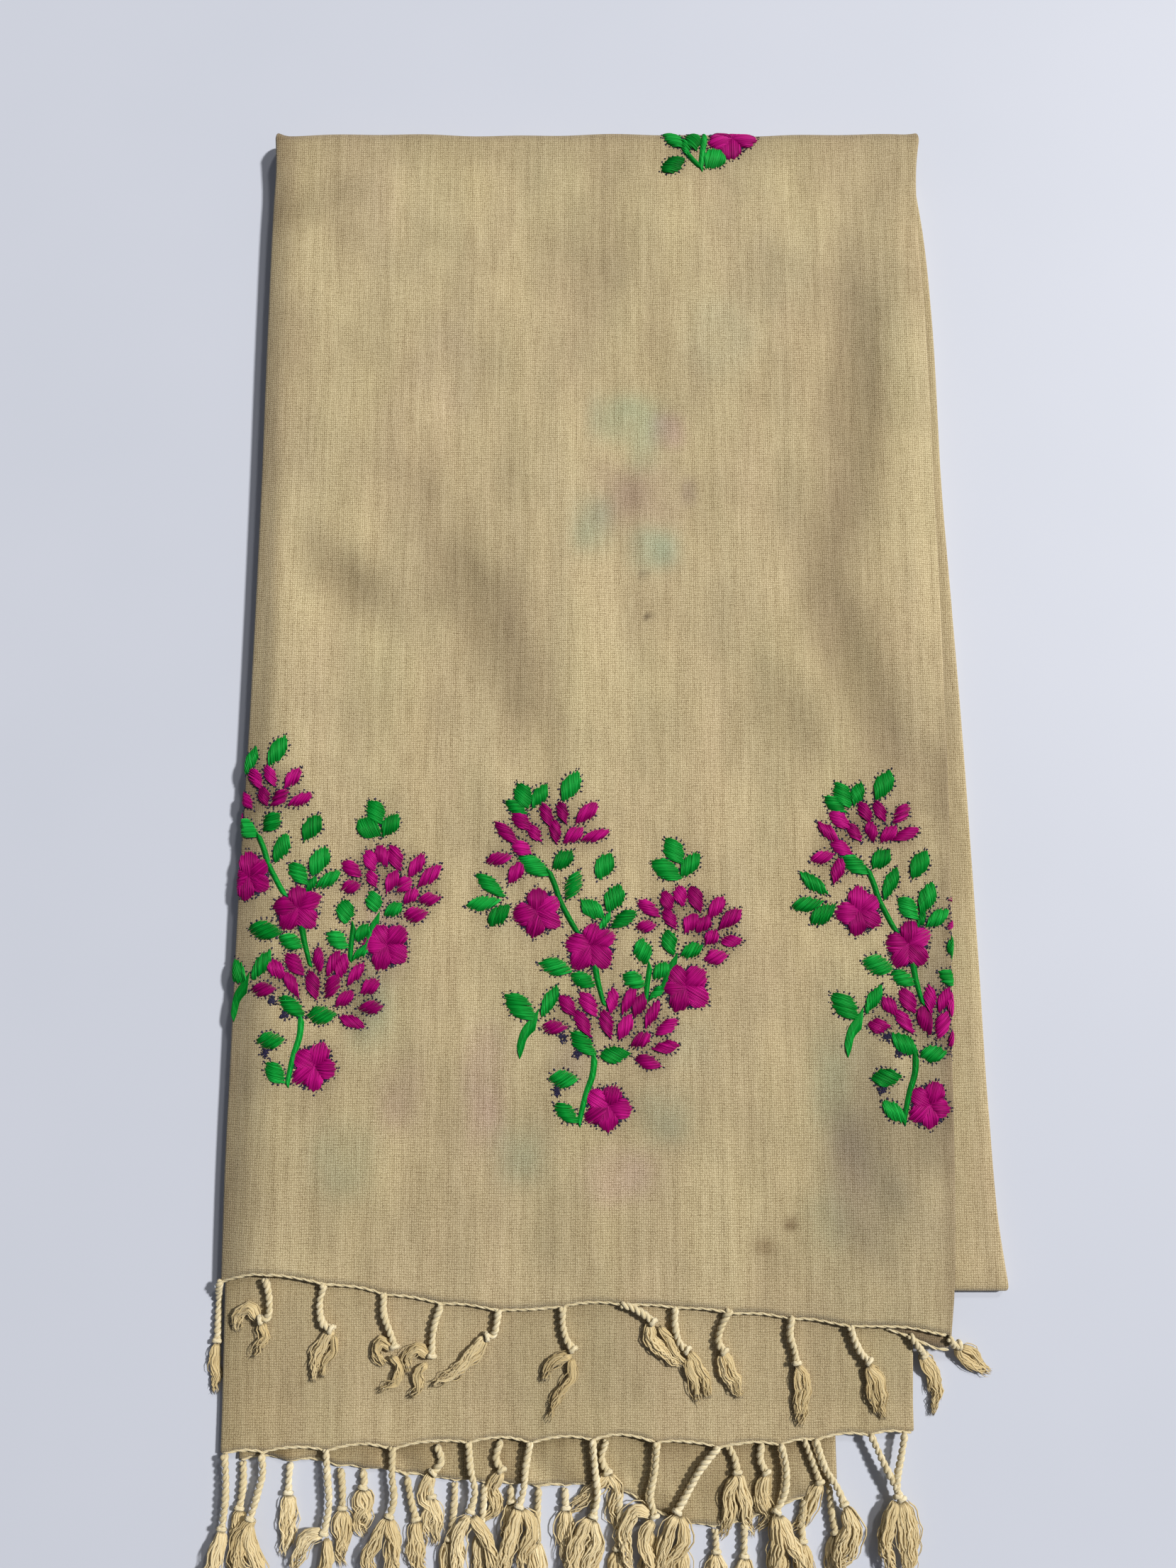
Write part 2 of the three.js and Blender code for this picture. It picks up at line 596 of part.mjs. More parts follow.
function innerFringe() {
  return fringe({
    tassels: INNER_TASSELS,
    spreads: [-TAIL_SPREAD, TAIL_SPREAD],
    stations: [130, 145.5, 152],
    edgeY: (x) => readTable(FRONT_END, "x", "y", x) - slip(x) - 0.2,
    level: (x, y) => frontLevel(x, y) - FOLDED_EDGE + WALL / 2,
    restLevel: restOnSecond,
  });
}

function secondFringe() {
  return fringe({
    tassels: SECOND_TASSELS,
    spreads: [-TAIL_SPREAD, TAIL_SPREAD],
    stations: threadStations(foldedProfile(END_COLUMNS, 2), END_STATIONS[3], SECOND_SIDES, -159.6, 141.6),
    edgeY: (x) => readTable(SECOND_END, "x", "y", x),
    level: (x, y) => secondLevel(x, y) - WALL / 2,
    restLevel: () => overThird,
  });
}

function thirdFringe() {
  return fringe({
    tassels: THIRD_TASSELS,
    spreads: [0],
    stations: threadStations(plainProfile(END_COLUMNS), END_STATIONS[3], THIRD_SIDES, -152.2, 107.6),
    edgeY: (x) => readTable(THIRD_END, "x", "y", x),
    level: (x, y) => thirdLevel(x, y) - WALL / 2 + 0.2,
    restLevel: () => onTable,
  });
}

// ---------------------------------------------------------------- the shawl

const cloth = new THREE.MeshStandardMaterial({ color: "#c2b184", roughness: 0.9, metalness: 0 });
const shadedCloth = new THREE.MeshStandardMaterial({ color: "#a89468", roughness: 0.92, metalness: 0 });
const yarn = new THREE.MeshStandardMaterial({ color: "#cdb98c", roughness: 0.85, metalness: 0 });

const pieces = [
  ["front_stretch", frontStretch(), cloth],
  ["second_stretch", endStretch(foldedProfile(END_COLUMNS, 2), SECOND_SIDES, SECOND_END, secondLevel), cloth],
  ["third_stretch", endStretch(plainProfile(END_COLUMNS), THIRD_SIDES, THIRD_END, thirdLevel), cloth],
  ["turned_stretch", turnedStretch(), cloth],
  ["inner_layers", innerLayers(), shadedCloth],
  ["front_fringe", frontFringe(), yarn],
  ["inner_fringe", innerFringe(), yarn],
  ["second_fringe", secondFringe(), yarn],
  ["third_fringe", thirdFringe(), yarn],
];

const shawl = new THREE.Group();
for (const [name, geometry, material] of pieces) {
  const mesh = new THREE.Mesh(geometry, material);
  mesh.name = name;
  shawl.add(mesh);
}

// The part's origin is the middle of its footprint, on the table.
const box = new THREE.Box3().setFromObject(shawl);
const middle = box.getCenter(new THREE.Vector3());
shawl.position.set(-middle.x, -middle.y, -box.min.z);

export default shawl;
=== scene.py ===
"""Looks of a large folded shawl of plain-woven linen, with satin-stitch sprays and twisted tassels.

Tables are in millimetres on the plan of the folded shawl: x to the right, y towards the far turn, z up from
the table. Everything is moved to the frame's metres as it is put into a mesh.
"""

import logging
import math
from collections.abc import Callable, Sequence
from dataclasses import dataclass, field
from enum import Enum

import bmesh
import bpy
import numpy as np
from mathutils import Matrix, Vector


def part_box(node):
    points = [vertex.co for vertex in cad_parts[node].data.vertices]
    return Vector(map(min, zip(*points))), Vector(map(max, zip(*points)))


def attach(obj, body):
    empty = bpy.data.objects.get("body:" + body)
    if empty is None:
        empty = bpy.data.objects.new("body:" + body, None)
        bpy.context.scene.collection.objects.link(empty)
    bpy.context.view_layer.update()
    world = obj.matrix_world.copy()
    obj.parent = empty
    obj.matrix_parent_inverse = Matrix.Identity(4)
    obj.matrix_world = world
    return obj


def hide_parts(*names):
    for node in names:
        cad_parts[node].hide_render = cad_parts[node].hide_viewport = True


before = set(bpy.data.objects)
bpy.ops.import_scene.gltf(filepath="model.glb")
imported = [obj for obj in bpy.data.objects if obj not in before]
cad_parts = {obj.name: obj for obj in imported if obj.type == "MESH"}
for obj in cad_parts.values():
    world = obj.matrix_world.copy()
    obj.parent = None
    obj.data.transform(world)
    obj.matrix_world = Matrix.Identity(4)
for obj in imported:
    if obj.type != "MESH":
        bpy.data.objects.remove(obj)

MM = 0.001
SHIFT_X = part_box("third_stretch")[0].x + 152.5 * MM
SHIFT_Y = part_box("front_stretch")[1].y - 324 * MM

# ---------------------------------------------------------------- sizes shared with the solids

WALL = 1.1
FOLD_GAP = 0.3
REST_GAP = 0.4
RETURN_WIDTH = 41.0
FOLDED_EDGE = 2 * WALL + FOLD_GAP
TURNED_TOP = 2 * FOLDED_EDGE + 0.6
THIRD_TOP = TURNED_TOP + REST_GAP + WALL
SECOND_TOP = THIRD_TOP + REST_GAP + FOLDED_EDGE
FRONT_TOP = SECOND_TOP + REST_GAP + FOLDED_EDGE
FAR_TURN_Y = 324.0
TURNED_END_Y = -227.0
UNDER_SEAM_Y = 300.15
HIDDEN_START_Y = -150.0
END_STATIONS = (-228.0, -274.0)
LEFT_SLOPE = 0.16
CORD_RADIUS = 1.5
TABLE_GAP = 0.35
FALL_SLOPE = 0.85
CLOTH = 0.6  # the woven cloth itself
CREASE_GAIN = 1.7  # the creases of the table are drawn higher by this
NEEDLEWORK_REACH = (46, 80)  # how far the cloth puckers round a spray, across and along
STITCH_SPREAD, FLOWER_SPREAD = 34, 110  # square millimetres dulled by a petal or leaf, and by a flower
SEEN_PAST = (2.4, 6)  # how far round the side folds and the far turn the needlework can be seen
PLAIN_TONE = "#bba983"  # mean colour of the cloth, which the soft marks are measured against

# y, left and right
FRONT_EDGES = (
    (324, -154.6, 164.2), (308, -153.9, 162.0), (285, -154.6, 161.2), (225, -155.4, 163.4),
    (145, -155.9, 164.6), (30, -157.8, 165.8), (-58, -160.3, 165.0), (-124, -161.3, 163.0),
    (-173, -162.1, 162.3), (-222, -161.9, 160.4), (-246, -161.5, 158.6),
)
TURNED_EDGES = (
    (300, -151.0, 162.5), (270, -150.4, 166.2), (225, -149.6, 168.8), (144, -147.6, 170.2),
    (85, -146.0, 172.8), (15, -144.0, 175.8), (-75, -141.2, 178.6), (-150, -139.0, 180.6),
    (-200, -137.6, 183.2), (-227, -137.0, 186.6),
)
# x, y along each cut end
FRONT_END = (
    (-163, -221.6), (-147, -217.6), (-117, -220.3), (-90, -225.0), (-55, -230.1), (-32, -232.4),
    (2, -229.4), (37, -231.0), (74, -234.2), (113, -238.3), (145, -240.8), (160, -243.0),
)
SECOND_END = (
    (-162, -293.4), (-140, -292.9), (-110, -291.6), (-82, -291.0), (-50, -288.6), (-20, -288.4),
    (16, -287.4), (50, -290.6), (84, -289.6), (112, -286.6), (144, -284.4),
)
THIRD_END = (
    (-154, -296.4), (-128, -297.4), (-96, -301.0), (-60, -305.4), (-20, -308.0), (16, -310.4), (34, -321.0),
    (56, -324.4), (82, -317.6), (110, -304.4),
)
RETURN_SLIP = ((118, 0), (130, 1.2), (143, 5.0), (152, 6.8), (160, 6.0))
SECOND_SIDES = (-160.4, 142.5)
THIRD_SIDES = (-152.5, 108.5)

# middle x and y, half length, half width, height, turn of the long axis in degrees
CREASES = (
    (127, 182, 88, 15, -1.35, 6), (131, 38, 62, 14, -1.2, -23), (152, 118, 72, 9, 0.7, -4),
    (-110, 92, 26, 11, -1.1, -49), (-48, 74, 56, 16, -1.3, -23), (-5, 92, 84, 15, 0.8, 0),
    (-137, 74, 32, 13, 0.7, -12), (92, 34, 24, 13, -0.8, -32), (-133, 286, 28, 11, -0.6, 62),
    (4, 262, 58, 15, -0.6, 3), (58, -192, 34, 16, 0.5, 10), (-18, -20, 190, 4.5, -0.2, 0),
)
# Small ripples of cloth that has lain folded: wave length, direction in degrees, start of the wave, height
RIPPLES = (
    (46, 12, 0.0, 0.16), (31, -28, 1.3, 0.11), (57, 84, 2.1, 0.14), (23, 61, 0.7, 0.06), (19, 3, 2.9, 0.07),
    (71, 37, 4.0, 0.13),
)
# Tightly drawn cloth round the needlework: wave length, direction in degrees, start of the wave, height
PUCKERS = ((9.5, 20, 0.4, 0.09), (11.5, 105, 1.9, 0.09), (14.0, 62, 3.1, 0.08), (8.3, -35, 5.0, 0.06))

# Soft marks in the cloth: most of them needlework that shows through from the layer below, a few stains,
# and some painted shade; x, y, reach along x and y, strength and the colour that the cloth leans to
BLURS = (
    (21, 174, 16, 12, 0.62, "#9da180"), (38, 168, 8, 9, 0.6, "#b59686"), (27, 156, 7, 9, 0.45, "#a3a382"),
    (23, 136, 21, 16, 0.6, "#a78f77"), (48, 138, 4, 7, 0.45, "#94806c"), (2, 122, 10, 14, 0.55, "#93977a"),
    (31, 110, 11, 10, 0.62, "#98a184"), (3, 176, 4, 12, 0.25, "#a5a283"),
    (-30, 130, 9, 34, 0.22, "#a5946e"), (-46, -138, 9, 26, 0.36, "#b3958a"),
    (-30, -166, 12, 14, 0.34, "#969b7e"), (-6, -126, 12, 12, 0.4, "#a08c78"),
    (14, -176, 16, 12, 0.36, "#b3958a"), (34, -150, 12, 12, 0.36, "#979c7f"),
    (46, -120, 12, 14, 0.3, "#a39a7c"), (108, -136, 9, 20, 0.3, "#969b7e"),
    (116, -170, 9, 20, 0.26, "#a08c7c"), (104, -196, 10, 12, 0.16, "#93997c"),
    (-92, -66, 9, 22, 0.42, "#b3958a"), (-98, -104, 10, 18, 0.42, "#969b7e"),
    (-84, -142, 10, 16, 0.26, "#a98d80"), (-110, -170, 14, 16, 0.26, "#969b7e"),
    # The two long marks on the next line darken the cloth along both side margins.
    (154, -110, 9, 56, 0.5, "#94876c"), (-152, -120, 9, 60, 0.36, "#94876c"),
    (64, 216, 18, 20, 0.2, "#a4a286"), (-72, 196, 20, 26, 0.16, "#b39a86"),
    # The last mark on the next line and both marks on the line after are painted shade of a crease over
    # needlework beneath.
    (96, 250, 16, 22, 0.18, "#a49c7e"), (121, -164, 19, 58, 0.26, "#8b8069"),
    (129, -178, 26, 32, 0.38, "#8b8069"), (128, -128, 14, 30, 0.24, "#857c66"),
    (77, -206, 5.0, 3.4, 0.5, "#8a7350"), (89, -197, 3.4, 2.8, 0.7, "#7d6748"),
    (26, 97, 1.8, 1.8, 0.8, "#5a4a36"), (28, 77, 2.0, 1.8, 0.7, "#5f4e38"),
    (60, -262, 22, 16, 0.16, "#a89a74"), (-60, -262, 26, 14, 0.16, "#a89a74"),
)

# ---------------------------------------------------------------- the spray

# Tip x and y, foot x and y, width, all from the spray's foot
LEAVES = (
    (-36, 144, -26, 138, 5.2), (-30, 151, -24, 140, 6.5), (-18, 151, -23, 140, 5.2),
    (-3, 156, -10, 143, 6.5), (-28, 117, -15, 110, 6.5), (-6, 120, -14, 112, 6.5), (13, 119, 6, 107, 7.0),
    (-2, 111, -8, 98, 5.7), (-48, 109, -36, 100, 5.6), (-53, 96, -38, 98, 5.7), (-43, 87, -33, 96, 6.5),
    (0, 98, 9, 89, 6.5), (16, 104, 10, 92, 7.0), (23, 93, 12, 86, 5.2), (12, 92, 7, 85, 3.1),
    (32, 116, 44, 109, 7.4), (38, 125, 45, 114, 7.0), (52, 119, 44, 108, 6.5), (26, 80, 27, 69, 6.5),
    (38, 84, 41, 74, 6.1), (53, 78, 44, 73, 5.2), (-19, 70, -4, 67, 7.0), (-5, 65, 6, 60, 6.1),
    (18, 65, 28, 60, 6.1), (37, 69, 31, 62, 5.2), (36, 59, 30, 55, 3.5), (-34, 55, -21, 45, 7.9),
    (-11, 59, -19, 46, 5.2), (-5, 38, 6, 29, 6.5), (8, 29, 21, 30, 6.5), (-15, 19, -2, 19, 6.5),
    (-12, 8, -2, 0, 6.1),
)
PETALS = (
    (-39, 132, -30, 124, 4.8), (-32, 137, -23, 130, 5.7), (-25, 131, -19, 124, 4.8),
    (-19, 141, -14, 132, 4.8), (-14, 133, -12, 124, 4.4), (-11, 142, -7, 133, 4.4), (4, 141, -3, 133, 5.2),
    (-2, 131, -9, 124, 5.2), (9, 129, -3, 125, 4.4), (-32, 123, -23, 119, 5.2), (-43, 116, -32, 119, 5.2),
    (-29, 115, -34, 105, 5.2), (26, 97, 35, 91, 5.2), (37, 101, 40, 93, 5.2), (43, 104, 46, 95, 5.7),
    (49, 103, 53, 93, 5.2), (63, 99, 56, 90, 4.8), (70, 93, 61, 85, 5.2), (38, 93, 42, 85, 4.4),
    (50, 92, 46, 83, 5.2), (56, 90, 51, 83, 5.2), (25, 86, 34, 87, 4.8), (60, 84, 54, 77, 4.8),
    (63, 80, 72, 80, 4.8), (55, 72, 66, 74, 5.7), (-10, 54, -3, 46, 5.2), (-1, 56, 6, 47, 5.7),
    (13, 58, 13, 47, 4.4), (22, 57, 17, 47, 4.4), (26, 55, 23, 45, 5.2), (33, 51, 27, 41, 4.4),
    (41, 44, 32, 38, 5.2), (41, 33, 31, 32, 4.8), (25, 28, 35, 24, 4.8), (-3, 48, 4, 38, 4.8),
    (9, 48, 12, 37, 5.2), (21, 46, 16, 36, 5.2), (29, 39, 21, 33, 4.8), (-17, 42, -7, 42, 5.2),
)
# Middle of each flower and the outer ends of its five lobes
FLOWERS = (
    ((-21, 93), ((-21, 104), (-11, 99), (-11, 87), (-23, 82), (-32, 91))),
    ((3, 78), ((5, 88), (14, 83), (11, 69), (-4, 68), (-8, 79))),
    ((45.5, 59.5), ((39.5, 69), (54, 67), (55, 52), (41, 49), (35, 60))),
    ((11, 7), ((15, 17), (21, 5), (11, -3), (1, 1), (2, 13))),
)
# Points along each stem, then its width at the start and at the end
STEMS = (
    (((-16, 112), (-13, 105), (-11, 99), (-7, 91), (-3, 84)), 2.6, 2.4),
    (((-21, 45), (-26, 39), (-29, 31)), 5.4, 3.6),
    (((5, 29), (4, 21), (1, 12), (-2, 0)), 3.1, 2.2),
    (((5, 70), (6, 64), (9, 52)), 3.1, 1.8),
    (((30, 69), (29, 63), (28, 54)), 2.6, 2.2),
    (((42, 72), (39, 68), (35, 59), (30, 55)), 3.1, 2.4),
)
BLOTS = ((-9, 37), (-3, 30), (-12, 14))


@dataclass(frozen=True)
class Chart:
    """What is worked in a spray, in millimetres from its foot, and the share of its breadth that is kept."""

    breadth: float = 1.0
    leaves: tuple = LEAVES
    petals: tuple = PETALS
    flowers: tuple = FLOWERS
    stems: tuple = STEMS
    blots: tuple = BLOTS


# The foot of a spray that goes over the far turn and on underneath
FAR_CHART = Chart(
    leaves=(
        (-18, 18, -8, 11, 5.6), (-5, 18, -2, 9, 6.2), (-18, -1, -7, 5, 6.4), (11, 9, 2, 0, 8.2),
        (-9, 13, -6, 6, 3.2),
    ),
    petals=(),
    flowers=(((15.5, 15.5), ((4, 12), (14.5, 5), (27, 15), (20, 26), (8, 25))),),
    stems=((((-9, 12), (-6, 7), (0, 0)), 2.8, 2.4), (((2.4, 17.5), (1.2, 9.5), (0, 0)), 3.2, 2.6)),
    blots=(),
)
# Foot x and y, turn in degrees, seed and chart of each spray that is worked in the front stretch
SPRAYS = (
    ("middle", -2, -153, 0.0, 3, Chart()), ("left", -132, -136, 2.0, 11, Chart(0.95)),
    ("right", 141.8, -152.5, 0.0, 19, Chart(0.91)), ("far", 55.3, 303.6, 0.0, 27, FAR_CHART),
)

# ---------------------------------------------------------------- the tassels

# Points of the twisted cord from its root, then of each loose lock
FRONT_TASSELS = (
    (((-161.6, -221), (-163.4, -227), (-163.8, -238), (-163.8, -249)), (
        ((-163.8, -249), (-165, -256), (-164, -262), (-165, -271)),
    )),
    (((-141, -219), (-139, -229), (-140, -236), (-144, -237)), (
        ((-144, -237), (-148, -232), (-153, -235), (-153, -243)),
        ((-143, -238), (-141, -243), (-143, -248), (-146, -254)),
    )),
    (((-115, -221), (-117, -231), (-115, -239), (-111, -241)), (
        ((-111, -241), (-115, -246), (-119, -254), (-120, -264)),
        ((-110, -243), (-111, -249), (-115, -256), (-117, -262)),
    )),
    (((-89, -225), (-89, -234), (-86, -243), (-84, -249)), (
        ((-85, -250), (-90, -246), (-92, -252), (-88, -257)),
        ((-86, -252), (-82, -258), (-84, -264), (-92, -268)),
    )),
    (((-64, -230), (-67, -239), (-68, -250), (-68, -253)), (
        ((-69, -253), (-74, -249), (-79, -253), (-79, -261)),
        ((-70, -255), (-74, -260), (-74, -266), (-78, -271)),
    )),
    (((-39, -232), (-40, -239), (-41, -243), (-45, -244)), (
        ((-45, -244), (-50, -250), (-56, -258), (-69, -265)),
        ((-44, -245), (-49, -253), (-54, -257), (-62, -263)),
    )),
    (((-11, -231), (-11, -239), (-9, -246), (-6, -250)), (
        ((-7, -252), (-12, -253), (-17, -257), (-19, -264)),
        ((-7, -253), (-7, -261), (-14, -271), (-18, -281)),
    )),
    (((14, -230), (18, -231), (24, -234), (29, -238)), (
        ((27, -238), (27, -244), (32, -250), (41, -257)),
        ((31, -239), (35, -245), (38, -251), (44, -258)),
    )),
    (((38, -231), (38, -240), (41, -248), (44, -250)), (
        ((44, -250), (48, -257), (51, -262), (53, -271)),
        ((44, -253), (45, -259), (47, -266), (48, -275)),
    )),
    (((62, -232), (58, -240), (57, -247), (60, -251)), (
        ((59, -250), (62, -257), (65, -263), (67, -271)),
        ((58, -251), (59, -259), (62, -264), (65, -270)),
    )),
    (((89, -235), (88, -243), (90, -250), (91, -256)), (
        ((91, -256), (95, -263), (94, -271), (92, -283)),
        ((91, -257), (92, -264), (92, -273), (91, -281)),
    )),
    (((114, -239), (116, -245), (119, -251), (123, -255)), (
        ((122, -256), (127, -263), (128, -272), (129, -280)),
        ((122, -257), (123, -264), (124, -271), (126, -278)),
    )),
    (((157, -244), (159, -247), (161, -249), (164, -249)), (
        ((163, -249), (164, -254), (170, -258), (178, -262)),
        ((164, -250), (168, -252), (173, -257), (175, -261)),
    )),
)
INNER_TASSELS = (
    (((140, -243), (143, -247), (146, -251), (148, -254)), (
        ((147, -253), (152, -260), (154, -269), (151, -280)),
        ((146, -253), (148, -257), (151, -263), (151, -271)),
    )),
)
SECOND_TASSELS = (
    (((-158, -294), (-157, -304), (-157, -315), (-158, -325)), (
        ((-158, -325), (-160, -334), (-163, -345), (-166, -356)),
    )),
    (((-142, -294), (-141, -301), (-143, -310), (-146, -321)), (
        ((-146, -322), (-146, -331), (-141, -340), (-143, -354)),
        ((-144, -320), (-150, -328), (-151, -338), (-147, -349)),
    )),
    (((-114, -292), (-113, -303), (-112, -315), (-114, -327)), (
        ((-114, -327), (-120, -327), (-124, -334), (-127, -342)),
        ((-113, -328), (-112, -336), (-116, -346), (-114, -356)),
    )),
    (((-85, -291), (-85, -303), (-84, -313), (-86, -320)), (
        ((-86, -320), (-84, -329), (-84, -341), (-81, -354)),
        ((-87, -320), (-91, -328), (-95, -336), (-93, -347)),
    )),
    (((-52, -289), (-51, -300), (-49, -310), (-51, -318)), (
        ((-51, -319), (-56, -327), (-56, -340), (-59, -353)),
        ((-50, -319), (-45, -327), (-41, -336), (-43, -348)),
    )),
    (((-25, -289), (-27, -299), (-28, -309), (-30, -316)), (
        ((-30, -316), (-33, -327), (-36, -340), (-35, -353)),
        ((-28, -316), (-24, -324), (-28, -336), (-26, -348)),
    )),
    (((2, -288), (3, -300), (4, -312), (2, -320)), (
        ((1, -320), (-4, -329), (-7, -340), (-12, -352)),
        ((2, -321), (4, -329), (-1, -340), (2, -352)),
    )),
    (((30, -289), (29, -301), (27, -312), (29, -320)), (
        ((27, -319), (21, -317), (16, -325), (19, -343)),
        ((28, -321), (24, -328), (27, -340), (22, -354)),
    )),
    (((57, -291), (49, -300), (43, -310), (38, -318)), (
        ((38, -319), (34, -329), (31, -340), (25, -351)),
        ((40, -319), (42, -329), (35, -340), (37, -351)),
    )),
    (((84, -290), (86, -300), (85, -310), (81, -318)), (
        ((81, -319), (82, -330), (81, -341), (84, -353)),
        ((83, -319), (87, -329), (92, -340), (90, -351)),
    )),
    (((99, -288), (103, -300), (108, -308), (111, -315)), (
        ((111, -315), (115, -323), (114, -332), (107, -341)),
        ((111, -317), (112, -325), (108, -333), (110, -345)),
    )),
    (((123, -286), (128, -297), (132, -305), (136, -313)), (
        ((136, -313), (139, -322), (139, -333), (136, -348)),
        ((135, -314), (136, -324), (137, -336), (141, -350)),
    )),
    (((138, -285), (136, -295), (134, -304), (134, -312)), (
        ((133, -313), (130, -322), (128, -331), (133, -345)),
    )),
)
# Root x, length of the cord, of the loose lock, and its lean in degrees from the near side to the right
THIRD_TASSELS = (
    (-150.6, 20, 31, -3), (-130, 13, 26, -2), (-108, 17, 24, 4), (-98.6, 8, 19, 3), (-79, 18, 24, 14),
    (-69, 8, 20, 8), (-58, 24, 27, -5), (-45, 20, 24, -4), (-33.5, 7, 22, 4), (-21.5, 22, 26, -3),
    (-10, 9, 24, 3), (1, 18, 29, 5), (13.5, 24, 26, -2), (26, 9, 24, 2), (41, 8, 26, -5), (55, 10, 25, 3),
    (68, 14, 24, -2), (81, 12, 26, 5), (94, 18, 26, -3), (105, 20, 24, 7),
)

# Tassels of the third end that lie back on the cloth, just clear of the second stretch
THIRD_CURLED = (
    (((-66, -291), (-64, -298), (-68, -303)), (
        ((-68, -303), (-71, -312), (-66, -320), (-70, -327)),
    )),
    (((-38, -289), (-40, -297), (-37, -302)), (
        ((-37, -302), (-42, -309), (-40, -317), (-46, -324)),
    )),
    (((8, -289), (6, -297), (9, -303)), (
        ((9, -303), (3, -309), (-3, -315), (-9, -320)),
        ((9, -303), (13, -310), (11, -319), (14, -327)),
    )),
    (((61, -291), (64, -297), (65, -303)), (
        ((65, -303), (61, -312), (61, -322), (57, -331)),
        ((65, -303), (68, -313), (69, -322), (72, -330)),
    )),
    (((76, -290), (75, -297), (78, -303)), (
        ((78, -303), (75, -312), (78, -320), (73, -328)),
    )),
    (((94, -288), (98, -298), (101, -307)), (
        ((101, -307), (97, -315), (94, -322), (88, -328)),
    )),
)


def linear(hex_colour: str) -> tuple[float, float, float, float]:
    """Turns an sRGB hex colour to the linear colour that a node takes.

    Args:
        hex_colour: Six hex digits after a hash sign.

    Returns:
        Red, green, blue and an alpha of one.
    """
    parts = [int(hex_colour[k : k + 2], 16) / 255 for k in (1, 3, 5)]
    red, green, blue = (p / 12.92 if p <= 0.04045 else ((p + 0.055) / 1.055) ** 2.4 for p in parts)
    return red, green, blue, 1.0


def add_node(
    tree: bpy.types.NodeTree, kind: str, settings: dict | None = None, feeds: dict | None = None
) -> bpy.types.Node:
    """Adds a node with its settings, its socket values and its links.

    Args:
        tree: The tree that gets the node.
        kind: The node's type name.
        settings: Values of the node's own properties.
        feeds: What goes into its sockets, by name or number: a value, or an output socket to link.

    Returns:
        The new node.
    """
    node = tree.nodes.new(kind)
    for name, value in (settings or {}).items():
        setattr(node, name, value)
    for socket, value in (feeds or {}).items():
        if isinstance(value, bpy.types.NodeSocket):
            tree.links.new(value, node.inputs[socket])
        else:
            node.inputs[socket].default_value = value
    return node


def new_material(name: str) -> tuple[bpy.types.Material, bpy.types.NodeTree]:
    """Starts a material with an empty tree.

    Args:
        name: Its name.

    Returns:
        The material and its tree.
    """
    made = bpy.data.materials.new(name)
    made.use_nodes = True
    made.node_tree.nodes.clear()
    return made, made.node_tree


def grid_mesh(name: str, columns: int, rows: int, size: float = 0.5) -> bpy.types.Mesh:
    """Makes a flat grid.

    Args:
        name: Its name.
        columns: Faces across.
        rows: Faces along.
        size: Half its side.

    Returns:
        The mesh.
    """
    bm = bmesh.new()
    bmesh.ops.create_grid(bm, x_segments=columns, y_segments=rows, size=size)
    mesh = bpy.data.meshes.new(name)
    bm.to_mesh(mesh)
    bm.free()
    return mesh


def put(name: str, data: bpy.types.ID) -> bpy.types.Object:
    """Adds an object to the scene.

    Args:
        name: Its name.
        data: Its mesh, light or lens.

    Returns:
        The object.
    """
    made = bpy.data.objects.new(name, data)
    bpy.context.scene.collection.objects.link(made)
    return made


def ramp(at: np.ndarray, start: np.ndarray | float, end: np.ndarray | float) -> np.ndarray:
    """0 to 1, smoothly, as a value goes from one bound to the other, whichever is the larger."""
    share = np.clip((at - start) / (end - start), 0, 1)
    return share * share * (3 - 2 * share)


def blend(a: np.ndarray | float, b: np.ndarray | float, share: np.ndarray | float) -> np.ndarray:
    """A place at a share of the way between two places."""
    return a + (b - a) * share


def waves(rows: Sequence[tuple[float, float, float, float]], x: np.ndarray, y: np.ndarray) -> np.ndarray:
    """The sum of a table of straight waves.

    Args:
        rows: Wave length, direction in degrees, start and height of each wave.
        x: Places across.
        y: Places along.

    Returns:
        Height at each place.
    """
    total = np.zeros_like(x, dtype=float)
    for length, turn, start, height in rows:
        angle = math.radians(turn)
        total += height * np.sin(math.tau * (x * math.cos(angle) + y * math.sin(angle)) / length + start)
    return total


class Curve:
    """A smooth line through the rows of a table, read at any place along it."""

    def __init__(self, rows: Sequence[tuple[float, float]]) -> None:
        """Keeps the line as closely spaced points.

        Args:
            rows: Place and value, in any order.
        """
        places, values = np.array(sorted(rows), float).T
        slopes = np.gradient(values, places)
        share = np.linspace(0, 1, 17)[:-1]
        dense_places, dense_values = [], []
        for k, span in enumerate(np.diff(places)):
            dense_places.append(places[k] + share * span)
            rise = 3 * share**2 - 2 * share**3
            lead = share**3 - 2 * share**2 + share
            tail = share**3 - share**2
            curved = span * (slopes[k] * lead + slopes[k + 1] * tail)
            dense_values.append(values[k] * (1 - rise) + values[k + 1] * rise + curved)
        self.places = np.append(np.concatenate(dense_places), places[-1])
        self.values = np.append(np.concatenate(dense_values), values[-1])

    def at(self, place: np.ndarray | float) -> np.ndarray:
        """The line's value at a place, or at its nearest end."""
        return np.interp(place, self.places, self.values)


def from_foot(foot: tuple[float, float], turn: float, breadth: float, point: np.ndarray) -> np.ndarray:
    """Turns a place on a spray's chart to one on the flat cloth.

    Args:
        foot: The spray's foot on the flat cloth.
        turn: Its turn in degrees.
        breadth: Share of the chart's breadth.
        point: Places on the chart.

    Returns:
        Places on the flat cloth.
    """
    x, y = point[..., 0] * breadth, point[..., 1]
    sine, cosine = math.sin(math.radians(turn)), math.cos(math.radians(turn))
    return np.stack([foot[0] + x * cosine - y * sine, foot[1] + x * sine + y * cosine], axis=-1)


